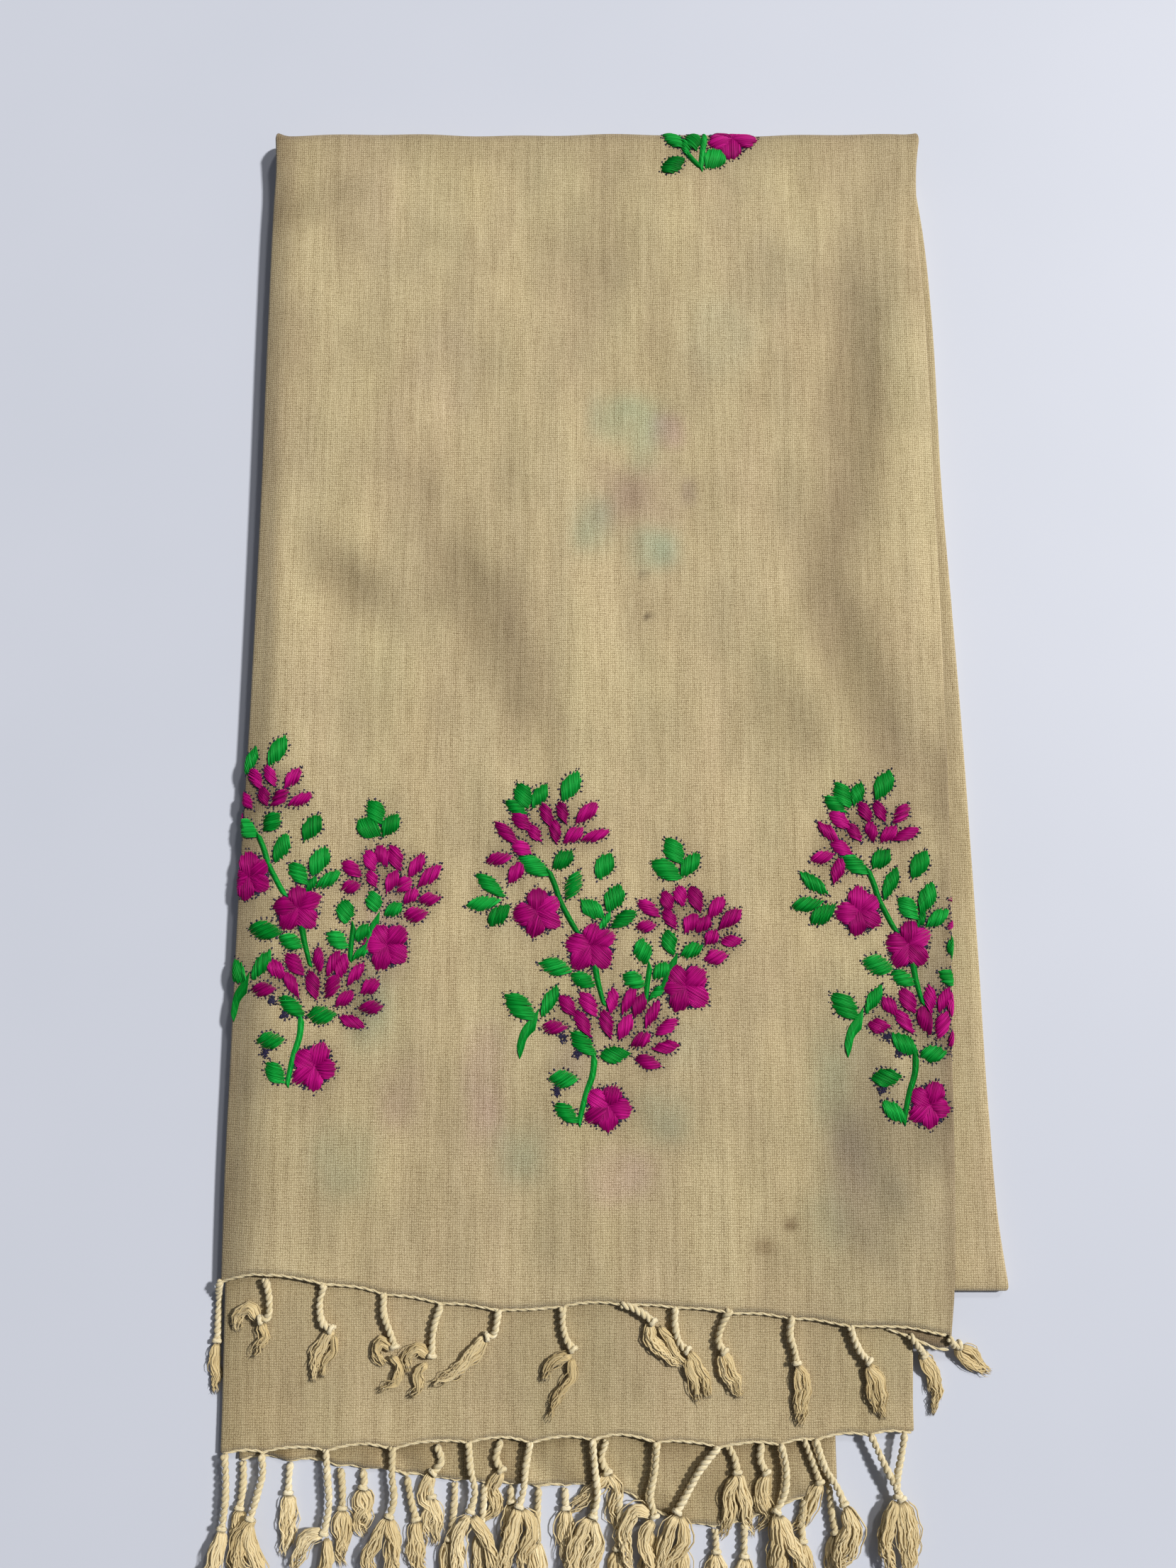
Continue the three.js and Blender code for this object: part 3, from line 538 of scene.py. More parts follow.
def to_frame(points: np.ndarray) -> np.ndarray:
    """Moves points from the plan in millimetres to the frame in metres."""
    return points * MM + np.array([SHIFT_X, SHIFT_Y, 0.0])


def shape_mesh(mesh: bpy.types.Mesh, points: np.ndarray, layer: str, flat: np.ndarray) -> None:
    """Gives a mesh its shape and its flat map.

    Args:
        mesh: The mesh.
        points: Its points on the plan.
        layer: Name of the map.
        flat: Each point's place on it, in metres.
    """
    mesh.vertices.foreach_set("co", to_frame(points).astype(np.float32).ravel())
    corners = np.empty(len(mesh.loops), int)
    mesh.loops.foreach_get("vertex_index", corners)
    mesh.uv_layers.new(name=layer).data.foreach_set("uv", flat[corners].astype(np.float32).ravel())


def heading(line: np.ndarray) -> np.ndarray:
    """Direction of a line at each of its points."""
    ahead = np.gradient(line, axis=0)
    return ahead / np.linalg.norm(ahead, axis=1, keepdims=True)


def level_beside(way: np.ndarray) -> np.ndarray:
    """Level direction across each of many directions."""
    across = np.cross(way, [0.0, 0.0, 1.0])
    return across / np.linalg.norm(across, axis=1, keepdims=True)


def painted_shade_tints(painted_shade: np.ndarray, share: tuple[float, float, float]) -> np.ndarray:
    """White tints darkened by painted shade, with a share for each channel.

    Args:
        painted_shade: How much at each point.
        share: Share of it that red, green and blue take.

    Returns:
        Linear colours, one row each.
    """
    tint = np.ones((len(painted_shade), 4))
    tint[:, :3] -= painted_shade[:, None] * np.array(share)
    return tint


# ---------------------------------------------------------------- finishes


@dataclass(frozen=True)
class Linen:
    """Plain-woven linen with slubs: a dull, dry cloth whose threads are uneven in thickness and tone."""

    name: str
    gap: str = "#84714f"
    thread: str = "#b3a27c"
    raised: str = "#d6c6a0"
    pitch: float = 1.0  # the real threads lie 0.78 mm apart, and are drawn coarser so that they show
    roughness: float = 0.88

    def material(self) -> bpy.types.Material:
        """Makes the cloth's material, on its own flat map in metres.

        Returns:
            The material.
        """
        made, tree = new_material(self.name)
        flat = add_node(tree, "ShaderNodeUVMap", {"uv_map": "flat"}).outputs["UV"]
        # A hand-spun thread wanders by a third of its own width.
        wander = add_node(tree, "ShaderNodeTexNoise", feeds={"Vector": flat, "Scale": 210.0, "Detail": 2.0})
        drawn = {0: wander.outputs["Color"], 1: (0.0011, 0.0011, 0.0), 2: flat}
        placed = add_node(tree, "ShaderNodeVectorMath", {"operation": "MULTIPLY_ADD"}, drawn).outputs[0]
        wave = {"Vector": placed, "Scale": math.pi / (10 * self.pitch * MM), "Distortion": 0.0}
        threads = []
        for way in ("X", "Y"):
            bands = {"bands_direction": way, "wave_profile": "SIN"}
            threads.append(add_node(tree, "ShaderNodeTexWave", bands, wave).outputs["Fac"])
        # Slubs are one or two threads wide and 8 to 13 mm long; old fold lines run on for 80 mm.
        slubs = []
        for wide, long in ((1.2, 13.0), (8.0, 1.2), (3.2, 80.0), (0.75, 0.75)):
            grain = {"Vector": flat, "Scale": (1000 / wide, 1000 / long, 1.0)}
            scaled = add_node(tree, "ShaderNodeMapping", feeds=grain).outputs[0]
            uneven = {"Vector": scaled, "Scale": 1.0, "Detail": 2.0, "Roughness": 0.6}
            slubs.append(add_node(tree, "ShaderNodeTexNoise", feeds=uneven).outputs["Fac"])
        crossed = dict(enumerate(threads))
        weave = add_node(tree, "ShaderNodeMath", {"operation": "MULTIPLY"}, crossed).outputs[0]
        tone = add_node(tree, "ShaderNodeMath", {"operation": "MULTIPLY"}, {0: weave, 1: 0.30}).outputs[0]
        for part, share in zip(slubs, (0.23, 0.16, 0.23, 0.62)):
            tone = add_node(
                tree, "ShaderNodeMath", {"operation": "MULTIPLY_ADD"}, {0: part, 1: share, 2: tone}
            ).outputs[0]
        colours = add_node(tree, "ShaderNodeValToRGB", feeds={"Fac": tone})
        stops = colours.color_ramp
        stops.elements[0].position, stops.elements[0].color = 0.48, linear(self.gap)
        stops.elements[1].position, stops.elements[1].color = 0.95, linear(self.raised)
        middle = stops.elements.new(0.685)
        middle.color = linear(self.thread)
        # Undyed linen drifts between warm and greenish, in bands 34 mm wide that run on along the warp.
        broad = {"Vector": flat, "Scale": (1000 / 34, 1000 / 95, 1.0)}
        banded = add_node(tree, "ShaderNodeMapping", feeds=broad).outputs[0]
        drift = add_node(tree, "ShaderNodeTexNoise", feeds={"Vector": banded, "Scale": 1.0, "Detail": 3.0})
        drifted = add_node(
            tree,
            "ShaderNodeMix",
            {"data_type": "RGBA", "blend_type": "OVERLAY"},
            {0: 0.045, 6: colours.outputs["Color"], 7: drift.outputs["Color"]},
        ).outputs[2]
        # The marks colour holds stains and needlework showing through, and also painted shade of creases,
        # folds and overlapping stretches.
        marks = add_node(tree, "ShaderNodeAttribute", {"attribute_name": "marks"}).outputs["Color"]
        marked = add_node(
            tree,
            "ShaderNodeMix",
            {"data_type": "RGBA", "blend_type": "MULTIPLY"},
            {0: 1.0, 6: drifted, 7: marks},
        ).outputs[2]
        bump = add_node(
            tree, "ShaderNodeBump", feeds={"Strength": 0.55, "Distance": 0.35 * MM, "Height": tone}
        ).outputs["Normal"]
        shader = add_node(
            tree,
            "ShaderNodeBsdfPrincipled",
            feeds={
                "Base Color": marked,
                "Roughness": self.roughness,
                "Specular IOR Level": 0.25,
                "Sheen Weight": 0.18,
                "Sheen Roughness": 0.55,
                "Normal": bump,
            },
        )
        add_node(tree, "ShaderNodeOutputMaterial", feeds={"Surface": shader.outputs[0]})
        return made


@dataclass(frozen=True)
class Thread:
    """Spun thread: fine fibres that run along it, with a tone of its own for each strand."""

    name: str
    dark: str
    middle: str
    light: str
    roughness: float
    specular: float
    sheen: float
    fibre: float  # width of a fibre streak in millimetres, coarser than a real fibre so that it shows
    bump: float
    contrast: float = 0.5
    length: float = 9.0  # length of a streak in millimetres
    slant: float = 0.0

    def material(self) -> bpy.types.Material:
        """Makes the thread's material, on the strands' own map and tone.

        Returns:
            The material.
        """
        made, tree = new_material(self.name)
        strand = add_node(tree, "ShaderNodeUVMap", {"uv_map": "strand"}).outputs["UV"]
        tone = add_node(tree, "ShaderNodeAttribute", {"attribute_name": "tone"}).outputs["Fac"]
        turned = {"Vector": strand, "Rotation": (0.0, 0.0, self.slant)}
        slanted = add_node(tree, "ShaderNodeMapping", feeds=turned).outputs[0]
        streaks = {"Vector": slanted, "Scale": (1000 / self.fibre, 1000 / self.length, 1.0)}
        scaled = add_node(tree, "ShaderNodeMapping", feeds=streaks).outputs[0]
        spun = {"Vector": scaled, "Scale": 1.0, "Detail": 3.0, "Roughness": 0.65}
        fibres = add_node(tree, "ShaderNodeTexNoise", feeds=spun).outputs["Fac"]
        # The noise lies round 0.5, so that a share of it above 0.5 is taken off again.
        excess = {0: tone, 1: self.contrast / 2 - 0.25}
        level = add_node(tree, "ShaderNodeMath", {"operation": "SUBTRACT"}, excess).outputs[0]
        summed = {0: fibres, 1: self.contrast, 2: level}
        mixed = add_node(tree, "ShaderNodeMath", {"operation": "MULTIPLY_ADD"}, summed).outputs[0]
        colours = add_node(tree, "ShaderNodeValToRGB", feeds={"Fac": mixed})
        stops = colours.color_ramp
        stops.elements[0].position, stops.elements[0].color = 0.2, linear(self.dark)
        stops.elements[1].position, stops.elements[1].color = 1.0, linear(self.light)
        middle = stops.elements.new(0.62)
        middle.color = linear(self.middle)
        bump = add_node(
            tree, "ShaderNodeBump", feeds={"Strength": self.bump, "Distance": 0.2 * MM, "Height": fibres}
        ).outputs["Normal"]
        shader = add_node(
            tree,
            "ShaderNodeBsdfPrincipled",
            feeds={
                "Base Color": colours.outputs["Color"],
                "Roughness": self.roughness,
                "Specular IOR Level": self.specular,
                "Sheen Weight": self.sheen,
                "Sheen Roughness": 0.45,
                "Normal": bump,
            },
        )
        add_node(tree, "ShaderNodeOutputMaterial", feeds={"Surface": shader.outputs[0]})
        return made


@dataclass(frozen=True)
class Tabletop:
    """Matt white laminate: even and pale, with only the faintest cloudiness."""

    name: str = "matt_white_laminate"
    colour: str = "#c9cdd9"
    clouded: str = "#c4c9d5"

    def material(self) -> bpy.types.Material:
        """Makes the table's material.

        Returns:
            The material.
        """
        made, tree = new_material(self.name)
        place = add_node(tree, "ShaderNodeTexCoord").outputs["Object"]
        soft = {"Vector": place, "Scale": 9.0, "Detail": 2.0}
        cloud = add_node(tree, "ShaderNodeTexNoise", feeds=soft).outputs["Fac"]
        colour = add_node(
            tree,
            "ShaderNodeMix",
            {"data_type": "RGBA"},
            {0: cloud, 6: linear(self.colour), 7: linear(self.clouded)},
        ).outputs[2]
        shader = add_node(tree, "ShaderNodeBsdfPrincipled", feeds={"Base Color": colour, "Roughness": 0.6})
        add_node(tree, "ShaderNodeOutputMaterial", feeds={"Surface": shader.outputs[0]})
        return made


# ---------------------------------------------------------------- how the cloth lies


def scallops(x: np.ndarray, roots: Sequence[float], height: float) -> np.ndarray:
    """How a cut end rises between the tassels that draw it down.

    Args:
        x: Places along the end.
        roots: Where the tassels leave it.
        height: Rise between two tassels.

    Returns:
        Rise above the end's own line, negative at the roots.
    """
    known = np.array(sorted(roots))
    k = np.clip(np.searchsorted(known, x), 1, len(known) - 1)
    share = np.clip((x - known[k - 1]) / (known[k] - known[k - 1]), 0, 1)
    gap = np.minimum((known[k] - known[k - 1]) / 26, 1.2)
    return height * gap * (np.sin(math.pi * share) ** 0.7 - 0.5)


class Lay:
    """Where every stretch of the folded cloth lies: its edges, its ends and its levels."""

    def __init__(self) -> None:
        """Reads the tables."""
        self.front_left = Curve([(y, left) for y, left, _ in FRONT_EDGES])
        self.front_right = Curve([(y, right) for y, _, right in FRONT_EDGES])
        self.turned_left = Curve([(y, left) for y, left, _ in TURNED_EDGES])
        self.turned_right = Curve([(y, right) for y, _, right in TURNED_EDGES])
        self.ends = {"front": Curve(FRONT_END), "second": Curve(SECOND_END), "third": Curve(THIRD_END)}
        self.roots = {
            "front": [cord[0][0] for cord, _ in FRONT_TASSELS],
            "second": [cord[0][0] for cord, _ in SECOND_TASSELS],
            "third": [row[0] for row in THIRD_TASSELS],
        }
        self.rise = {"front": 0.9, "second": 2.3, "third": 2.2}

    def end(self, name: str, x: np.ndarray) -> np.ndarray:
        """The line of a cut end, with its scallops."""
        return self.ends[name].at(x) + scallops(np.asarray(x, float), self.roots[name], self.rise[name])

    def far_wave(self, x: np.ndarray) -> np.ndarray:
        """How far the far turn lies past its straight line, with its two corners drawn out."""
        corners = 1.9 * np.exp(-(((x + 154.6) / 3.5) ** 2)) + 1.1 * np.exp(-(((x - 164.2) / 4.0) ** 2))
        return 0.45 * np.sin(x / 19 + 0.6) + 0.28 * np.sin(x / 7.3) + corners

    def settle(self, x: np.ndarray, y: np.ndarray) -> np.ndarray:
        """How far the upper layers sink where the turned stretch doesn't hold them up.

        Args:
            x: Places across.
            y: Places along.

        Returns:
            Depth at each place.
        """
        past_left = LEFT_SLOPE * np.maximum(0, self.turned_left.at(y) - 1 - x)
        past_end = np.clip((END_STATIONS[0] - y) / (END_STATIONS[0] - END_STATIONS[1]), 0, 1)
        return blend(past_left, TURNED_TOP - 0.2, past_end)

    def creases(self, x: np.ndarray, y: np.ndarray) -> np.ndarray:
        """Height of the front stretch's soft creases, its ripples and its puckers round the needlework.

        Args:
            x: Places across.
            y: Places along.

        Returns:
            Height above the front stretch's level.
        """
        left, right = self.front_left.at(y), self.front_right.at(y)
        lift = np.zeros(np.broadcast(x, y).shape)
        for cx, cy, reach_along, reach_across, height, turn in CREASES:
            sine, cosine = math.sin(math.radians(turn)), math.cos(math.radians(turn))
            along = (x - cx) * sine + (y - cy) * cosine
            across = (x - cx) * cosine - (y - cy) * sine
            lift += height * np.exp(-((along / reach_along) ** 2) - (across / reach_across) ** 2)
        lift *= CREASE_GAIN
        wide, long = NEEDLEWORK_REACH
        worked = sum(
            np.exp(-(((x - foot_x - 4) / wide) ** 2) - ((y - foot_y - 78) / long) ** 2)
            for _, foot_x, foot_y, *_ in SPRAYS[:3]
        )
        lift += waves(RIPPLES, x, y) + waves(PUCKERS, x, y) * np.minimum(worked, 1)
        fade = ramp(x, left, left + 12) * ramp(x, right, right - 12)
        rounded = 1.3 * (ramp(x, left + 11, left) + 0.5 * ramp(x, right - 9, right))
        return (lift * fade - rounded) * ramp(y, FAR_TURN_Y - 4, FAR_TURN_Y - 30)

    def end_sag(self, x: np.ndarray, y: np.ndarray) -> np.ndarray:
        """How far the middle of the front stretch sags between its two folded edges near its cut end.

        Args:
            x: Places across.
            y: Places along.

        Returns:
            Depth at each place.
        """
        start = self.front_left.at(y) + RETURN_WIDTH + 2
        stop = self.front_right.at(y) - RETURN_WIDTH - 4
        inside = ramp(x, start, start + 22) * ramp(x, stop, stop - 22)
        return 1.1 * inside * ramp(y, HIDDEN_START_Y, HIDDEN_START_Y - 45)

    def front(self, x: np.ndarray, y: np.ndarray) -> np.ndarray:
        """Level of the front stretch."""
        return FRONT_TOP + self.creases(x, y) - self.settle(x, y) - self.end_sag(x, y)

    def second(self, x: np.ndarray, y: np.ndarray) -> np.ndarray:
        """Level of the second stretch."""
        inside = ramp(x, SECOND_SIDES[0], SECOND_SIDES[0] + 14)
        return SECOND_TOP - self.settle(x, y) + 0.6 * waves(RIPPLES, x + 40, y) * inside

    def third(self, x: np.ndarray, y: np.ndarray) -> np.ndarray:
        """Level of the third stretch."""
        return THIRD_TOP - self.settle(x, y) + 0.3 * waves(RIPPLES, x - 25, y + 60)

    def on_front(self, x: np.ndarray, y: np.ndarray, lift: np.ndarray) -> np.ndarray:
        """Puts places of the flat front stretch on the folded one, round its folds too.

        Args:
            x: Places across the flat cloth.
            y: Places along the flat cloth.
            lift: Height above the cloth.

        Returns:
            Points in millimetres, one row each.
        """
        radius, half = FOLDED_EDGE / 2, FRONT_TOP / 2
        turn_y = FAR_TURN_Y - half + self.far_wave(x)
        near_y = np.minimum(y, turn_y)
        left, right = self.front_left.at(near_y) + radius, self.front_right.at(near_y) - radius
        over = np.maximum(left - x, 0) + np.maximum(x - right, 0)
        angle = np.minimum(over / radius, math.pi)
        side = np.where(x < left, -1.0, 1.0)
        sink = radius - (radius + lift) * np.cos(angle)
        flat_x = np.clip(x, left, right)
        placed_x = flat_x + side * (radius + lift) * np.sin(angle) * (over > 0)
        level = self.front(flat_x, near_y)
        far = np.clip((y - turn_y) / half, 0, math.pi)
        reach = half - sink
        placed_y = near_y + reach * np.sin(far)
        placed_z = np.where(far > 0, half + reach * np.cos(far), level - sink)
        return np.stack([placed_x, placed_y, placed_z], axis=-1)


class Zone(Enum):
    """Which part of a folded stretch a column of its grid belongs to."""

    UNDER_LEFT = 0
    ROUND_LEFT = 1
    TOP = 2
    ROUND_RIGHT = 3
    UNDER_RIGHT = 4


class Turn(Enum):
    """Whether a stretch turns over at its far or its near side, or not at all."""

    NONE = 0
    FAR = 1
    NEAR = -1


@dataclass
class Stretch:
    """One stretch of the folded cloth, as a thin sheet whose long edges may be folded under."""

    name: str
    lay: Lay
    linen: bpy.types.Material
    columns: int
    rows: int
    radius: float = FOLDED_EDGE / 2
    left_return: float = RETURN_WIDTH
    right_return: float = RETURN_WIDTH
    turn: Turn = Turn.NONE
    piece: bpy.types.Object | None = None
    flat: tuple[float, float] = (0.0, 0.0)

    def edges(self, y: np.ndarray) -> tuple[np.ndarray, np.ndarray]:
        """Its left and right edges at a place along it."""
        raise NotImplementedError

    def level(self, x: np.ndarray, y: np.ndarray) -> np.ndarray:
        """Level of its outer side."""
        raise NotImplementedError

    def ends(self, x: np.ndarray, under: np.ndarray) -> tuple[np.ndarray, np.ndarray | float]:
        """Where it starts and stops along y, for its columns."""
        raise NotImplementedError

    def profile(self) -> list[tuple[Zone, float]]:
        """Columns across the stretch, from one edge of the cloth to the other.

        Returns:
            Zone of each column, and its share of the way through the zone from the stretch's middle outwards,
            or from left to right on top.
        """
        top = [(Zone.TOP, share) for share in np.linspace(0, 1, self.columns + 1)]
        if not self.radius:
            return top
        bend = np.linspace(0, 1, 8)[1:]
        back = np.linspace(0, 1, 15)[1:]
        return [
            *((Zone.UNDER_LEFT, share) for share in back[::-1]),
            *((Zone.ROUND_LEFT, share) for share in bend[::-1]),
            *top,
            *((Zone.ROUND_RIGHT, share) for share in bend),
            *((Zone.UNDER_RIGHT, share) for share in back),
        ]

    def across(
        self, zone: np.ndarray, share: np.ndarray, y: np.ndarray
    ) -> tuple[np.ndarray, np.ndarray, np.ndarray]:
        """Places across the stretch.

        Args:
            zone: Zone of each point.
            share: Its share of the way through the zone.
            y: Its place along the stretch.

        Returns:
            Place across, depth below the outer side, and place across the flat cloth.
        """
        left, right = self.edges(y)
        radius, angle = self.radius, share * math.pi
        start, stop = left + radius, right - radius
        arc = math.pi * radius
        picks = [zone == each.value for each in Zone]
        x = np.select(
            picks,
            [
                start + self.left_return * share,
                start - radius * np.sin(angle),
                blend(start, stop, share),
                stop + radius * np.sin(angle),
                stop - self.right_return * share,
            ],
        )
        curl, under = radius - radius * np.cos(angle), np.full_like(share, 2 * radius)
        depth = np.select(picks, [under, curl, 0 * share, curl, under])
        flat = np.select(
            picks,
            [
                start - arc - self.left_return * share,
                start - radius * angle,
                blend(start, stop, share),
                stop + radius * angle,
                stop + arc + self.right_return * share,
            ],
        )
        return x, depth, flat

    def along(
        self, share: np.ndarray, start: np.ndarray, stop: np.ndarray | float
    ) -> tuple[np.ndarray, np.ndarray, np.ndarray]:
        """Places along the stretch, round its turn if it has one.

        Args:
            share: Share of the way along the cloth.
            start: Where it starts.
            stop: Where its straight run stops.

        Returns:
            Place along, angle turned so far, and place along the flat cloth.
        """
        if self.turn is Turn.NONE:
            y = blend(start, stop, share)
            return y, np.zeros_like(y), y
        height = FRONT_TOP if self.turn is Turn.FAR else TURNED_TOP
        back = UNDER_SEAM_Y
        first, second = (0.90, 0.965) if self.turn is Turn.FAR else (0.47, 0.53)
        there = np.clip(share / first, 0, 1)
        over = np.clip((share - first) / (second - first), 0, 1)
        home = np.clip((share - second) / (1 - second), 0, 1)
        y = np.where(share <= second, blend(start, stop, there), blend(stop, back, home))
        way = self.turn.value
        flat = blend(start, stop, there) + way * (math.pi * height / 2 * over + abs(stop - back) * home)
        return y, math.pi * over, flat

    def marks(self, x: np.ndarray, y: np.ndarray) -> np.ndarray:
        """Tint of the cloth at each point, as a colour that its own is multiplied by.

        Args:
            x: Places across the flat cloth.
            y: Places along it; not used here.

        Returns:
            Linear colours, one row each.
        """
        return np.ones((len(x), 4))

    def build(self) -> bpy.types.Object:
        """Makes the sheet from a flat grid that is laid on the stretch's form.

        Returns:
            The finished piece.
        """
        profile = self.profile()
        wide = len(profile)
        mesh = grid_mesh(self.name, wide - 1, self.rows)
        index = np.arange(len(mesh.vertices))
        zone = np.array([each.value for each, _ in profile])[index % wide]
        share = np.array([each for _, each in profile])[index % wide]
        step = (index // wide) / self.rows
        under = (zone == Zone.UNDER_LEFT.value) | (zone == Zone.UNDER_RIGHT.value)
        under = under + (zone == Zone.ROUND_RIGHT.value) * share
        guess, _, _ = self.across(zone, share, np.full(len(index), TURNED_END_Y))
        start, stop = self.ends(guess, under)
        y, angle, flat_y = self.along(step, start, stop)
        x, depth, flat_x = self.across(zone, share, y)
        if self.turn is Turn.NONE:
            placed = np.stack([x, y, self.level(x, y) - depth], axis=-1)
        else:
            half = (FRONT_TOP if self.turn is Turn.FAR else TURNED_TOP) / 2
            way, reach = self.turn.value, half - depth
            z = half + way * reach * np.cos(angle)
            lift = self.level(x, y) - 2 * half
            z = z + np.where(angle == (0 if self.turn is Turn.FAR else math.pi), lift, 0)
            placed = np.stack([x, y + way * reach * np.sin(angle), z], axis=-1)
        shape_mesh(mesh, placed, "flat", np.stack([flat_x, flat_y], axis=-1) * MM)
        # The marks colour carries painted shade as well as the cloth's own marks.
        tint = mesh.color_attributes.new("marks", "FLOAT_COLOR", "POINT")
        tint.data.foreach_set("color", self.marks(flat_x, flat_y).astype(np.float32).ravel())
        mesh.shade_smooth()
        mesh.materials.append(self.linen)
        self.piece = put(self.name, mesh)
        thickness = self.piece.modifiers.new("thickness", "SOLIDIFY")
        thickness.thickness, thickness.offset = CLOTH * MM, -1.0
        middle = self.rows // 2 * wide
        length = np.abs(np.diff(flat_y[wide // 2 :: wide])).sum()
        self.flat = (float(np.ptp(flat_x[middle : middle + wide])) * MM, float(length) * MM)
        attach(self.piece, "root")
        return self.piece


@dataclass
class FrontStretch(Stretch):
    """The stretch on top, which turns over at the far side and goes a little way back underneath."""

    turn: Turn = Turn.FAR

    def edges(self, y: np.ndarray) -> tuple[np.ndarray, np.ndarray]:
        """Its left and right edges at a place along it."""
        return self.lay.front_left.at(y), self.lay.front_right.at(y)

    def level(self, x: np.ndarray, y: np.ndarray) -> np.ndarray:
        """Level of its outer side."""
        return self.lay.front(x, y)

    def ends(self, x: np.ndarray, under: np.ndarray) -> tuple[np.ndarray, np.ndarray | float]:
        """Its cut end, which its right return slips past, and the far turn.

        Args:
            x: Places across.
            under: How far each column lies underneath, from 0 to 1.

        Returns:
            Where its columns start, and where they stop.
        """
        places, past = np.array(RETURN_SLIP).T
        slip = np.interp(x, places, past) * under
        near, far = ([float(each) for each in self.edges(y)] for y in (TURNED_END_Y, FAR_TURN_Y))
        far_x = np.interp(x, near, far)
        return self.lay.end("front", x) - slip, FAR_TURN_Y - FRONT_TOP / 2 + self.lay.far_wave(far_x)

    def marks(self, x: np.ndarray, y: np.ndarray) -> np.ndarray:
        """Faint colour of the needlework underneath, a few stains, and painted shade.

        Args:
            x: Places across the flat cloth.
            y: Places along it.

        Returns:
            Linear colours, one row each.
        """
        plain = np.array(linear(PLAIN_TONE))
        tint = np.ones((len(x), 4))
        for cx, cy, wide, long, strength, colour in BLURS:
            shape = np.exp(-np.abs((x - cx) / wide) ** 3 - np.abs((y - cy) / long) ** 3)
            uneven = 1 + 0.3 * np.sin(x / 5.3 + cy) * np.sin(y / 6.1 + cx)
            weight = (min(1.2 * strength, 0.85) * shape * uneven)[:, None]
            tint *= 1 - weight * (1 - np.array(linear(colour)) / plain)
        # Painted shade: the cloth is darkened in the troughs of its creases, along its side folds, towards
        # its far turn, beside its right edge and towards its cut end, and round the needlework, where the
        # floss also shows through.
        left, right = self.lay.front_left.at(y), self.lay.front_right.at(y)
        painted_shade = 0.33 * np.clip(-self.lay.creases(np.clip(x, left + 12, right - 12), y) / 1.6, -0.35, 1)
        beside_right = (0.06 + 0.26 * ramp(y, 70, -20)) * ramp(x, right - 12, right + 1)
        painted_shade += 0.34 * ramp(x, left + 20, left - 2) + beside_right
        at_turn = 0.26 * ramp(y, FAR_TURN_Y - 8, FAR_TURN_Y - 3)
        painted_shade += 0.12 * ramp(y, FAR_TURN_Y - 26, FAR_TURN_Y - 8) + at_turn
        painted_shade += 0.08 * ramp(y, -60, -170)
        # Painted shade round each spray's petals, leaves and flowers.
        for _, foot_x, foot_y, turn, _, chart in SPRAYS:
            shadow = np.zeros(len(x))
            spots = []
            for rows, share in ((chart.leaves, 0.3), (chart.petals, 0.65)):
                for tip_x, tip_y, root_x, root_y, _ in rows:
                    spots.append(((tip_x + root_x) / 2, (tip_y + root_y) / 2, share, STITCH_SPREAD))
            spots += [(*middle, 0.7, FLOWER_SPREAD) for middle, _ in chart.flowers]
            for spot_x, spot_y, share, spread in spots:
                at_x, at_y = from_foot((foot_x, foot_y), turn, chart.breadth, np.array([spot_x, spot_y]))
                shadow += share * np.exp(-((x - at_x) ** 2 + (y - at_y) ** 2) / spread)
            painted_shade += 0.54 * np.minimum(shadow, 1)
        # Painted shade inside the fold, on the return that shows past the right edge.
        painted_shade += 0.36 * ramp(x, right + 1, right + 4)
        tint[:, :3] *= 1 - np.clip(painted_shade, -0.1, 0.6)[:, None] * np.array([0.94, 1.0, 1.02])
        tint[:, 3] = 1
        return tint


@dataclass
class TurnedStretch(Stretch):
    """The stretch turned under: along the table, round the near turn and back, fanned out to the right."""

    turn: Turn = Turn.NEAR

    def edges(self, y: np.ndarray) -> tuple[np.ndarray, np.ndarray]:
        """Its left and right edges at a place along it."""
        return self.lay.turned_left.at(y), self.lay.turned_right.at(y)

    def level(self, x: np.ndarray, y: np.ndarray) -> np.ndarray:
        """Level of its outer side."""
        fade = ramp(y, TURNED_END_Y + 4, TURNED_END_Y + 20)
        return TURNED_TOP + 0.5 * fade * np.minimum(waves(RIPPLES, x, y + 30), 0.2)

    def ends(self, x: np.ndarray, under: np.ndarray) -> tuple[np.ndarray, np.ndarray | float]:
        """The seam underneath and the near turn."""
        return np.full_like(x, UNDER_SEAM_Y), TURNED_END_Y + TURNED_TOP / 2

    def marks(self, x: np.ndarray, y: np.ndarray) -> np.ndarray:
        """Painted shade where the front stretch's edge lies over it, along a line of its long fold and at its
        near turn.

        Args:
            x: Places across the flat cloth.
            y: Places along it.

        Returns:
            Linear colours, one row each.
        """
        stop = TURNED_END_Y + TURNED_TOP / 2
        turned = stop - math.pi * TURNED_TOP / 2
        above = np.where(y < turned, stop + turned - y, TURNED_END_Y)
        shown = self.lay.front_right.at(above)
        fold = self.lay.turned_right.at(above)
        painted_shade = 0.15 * ramp(x, shown + 10, shown) + 0.10 * np.exp(-(((x - fold + 7) / 3.2) ** 2))
        uneven = 0.04 * np.sin(above / 17) * np.sin(above / 41)
        painted_shade += 0.10 * ramp(above, TURNED_END_Y + 9, TURNED_END_Y) + uneven
        return painted_shade_tints(painted_shade, (0.96, 1.0, 1.06))


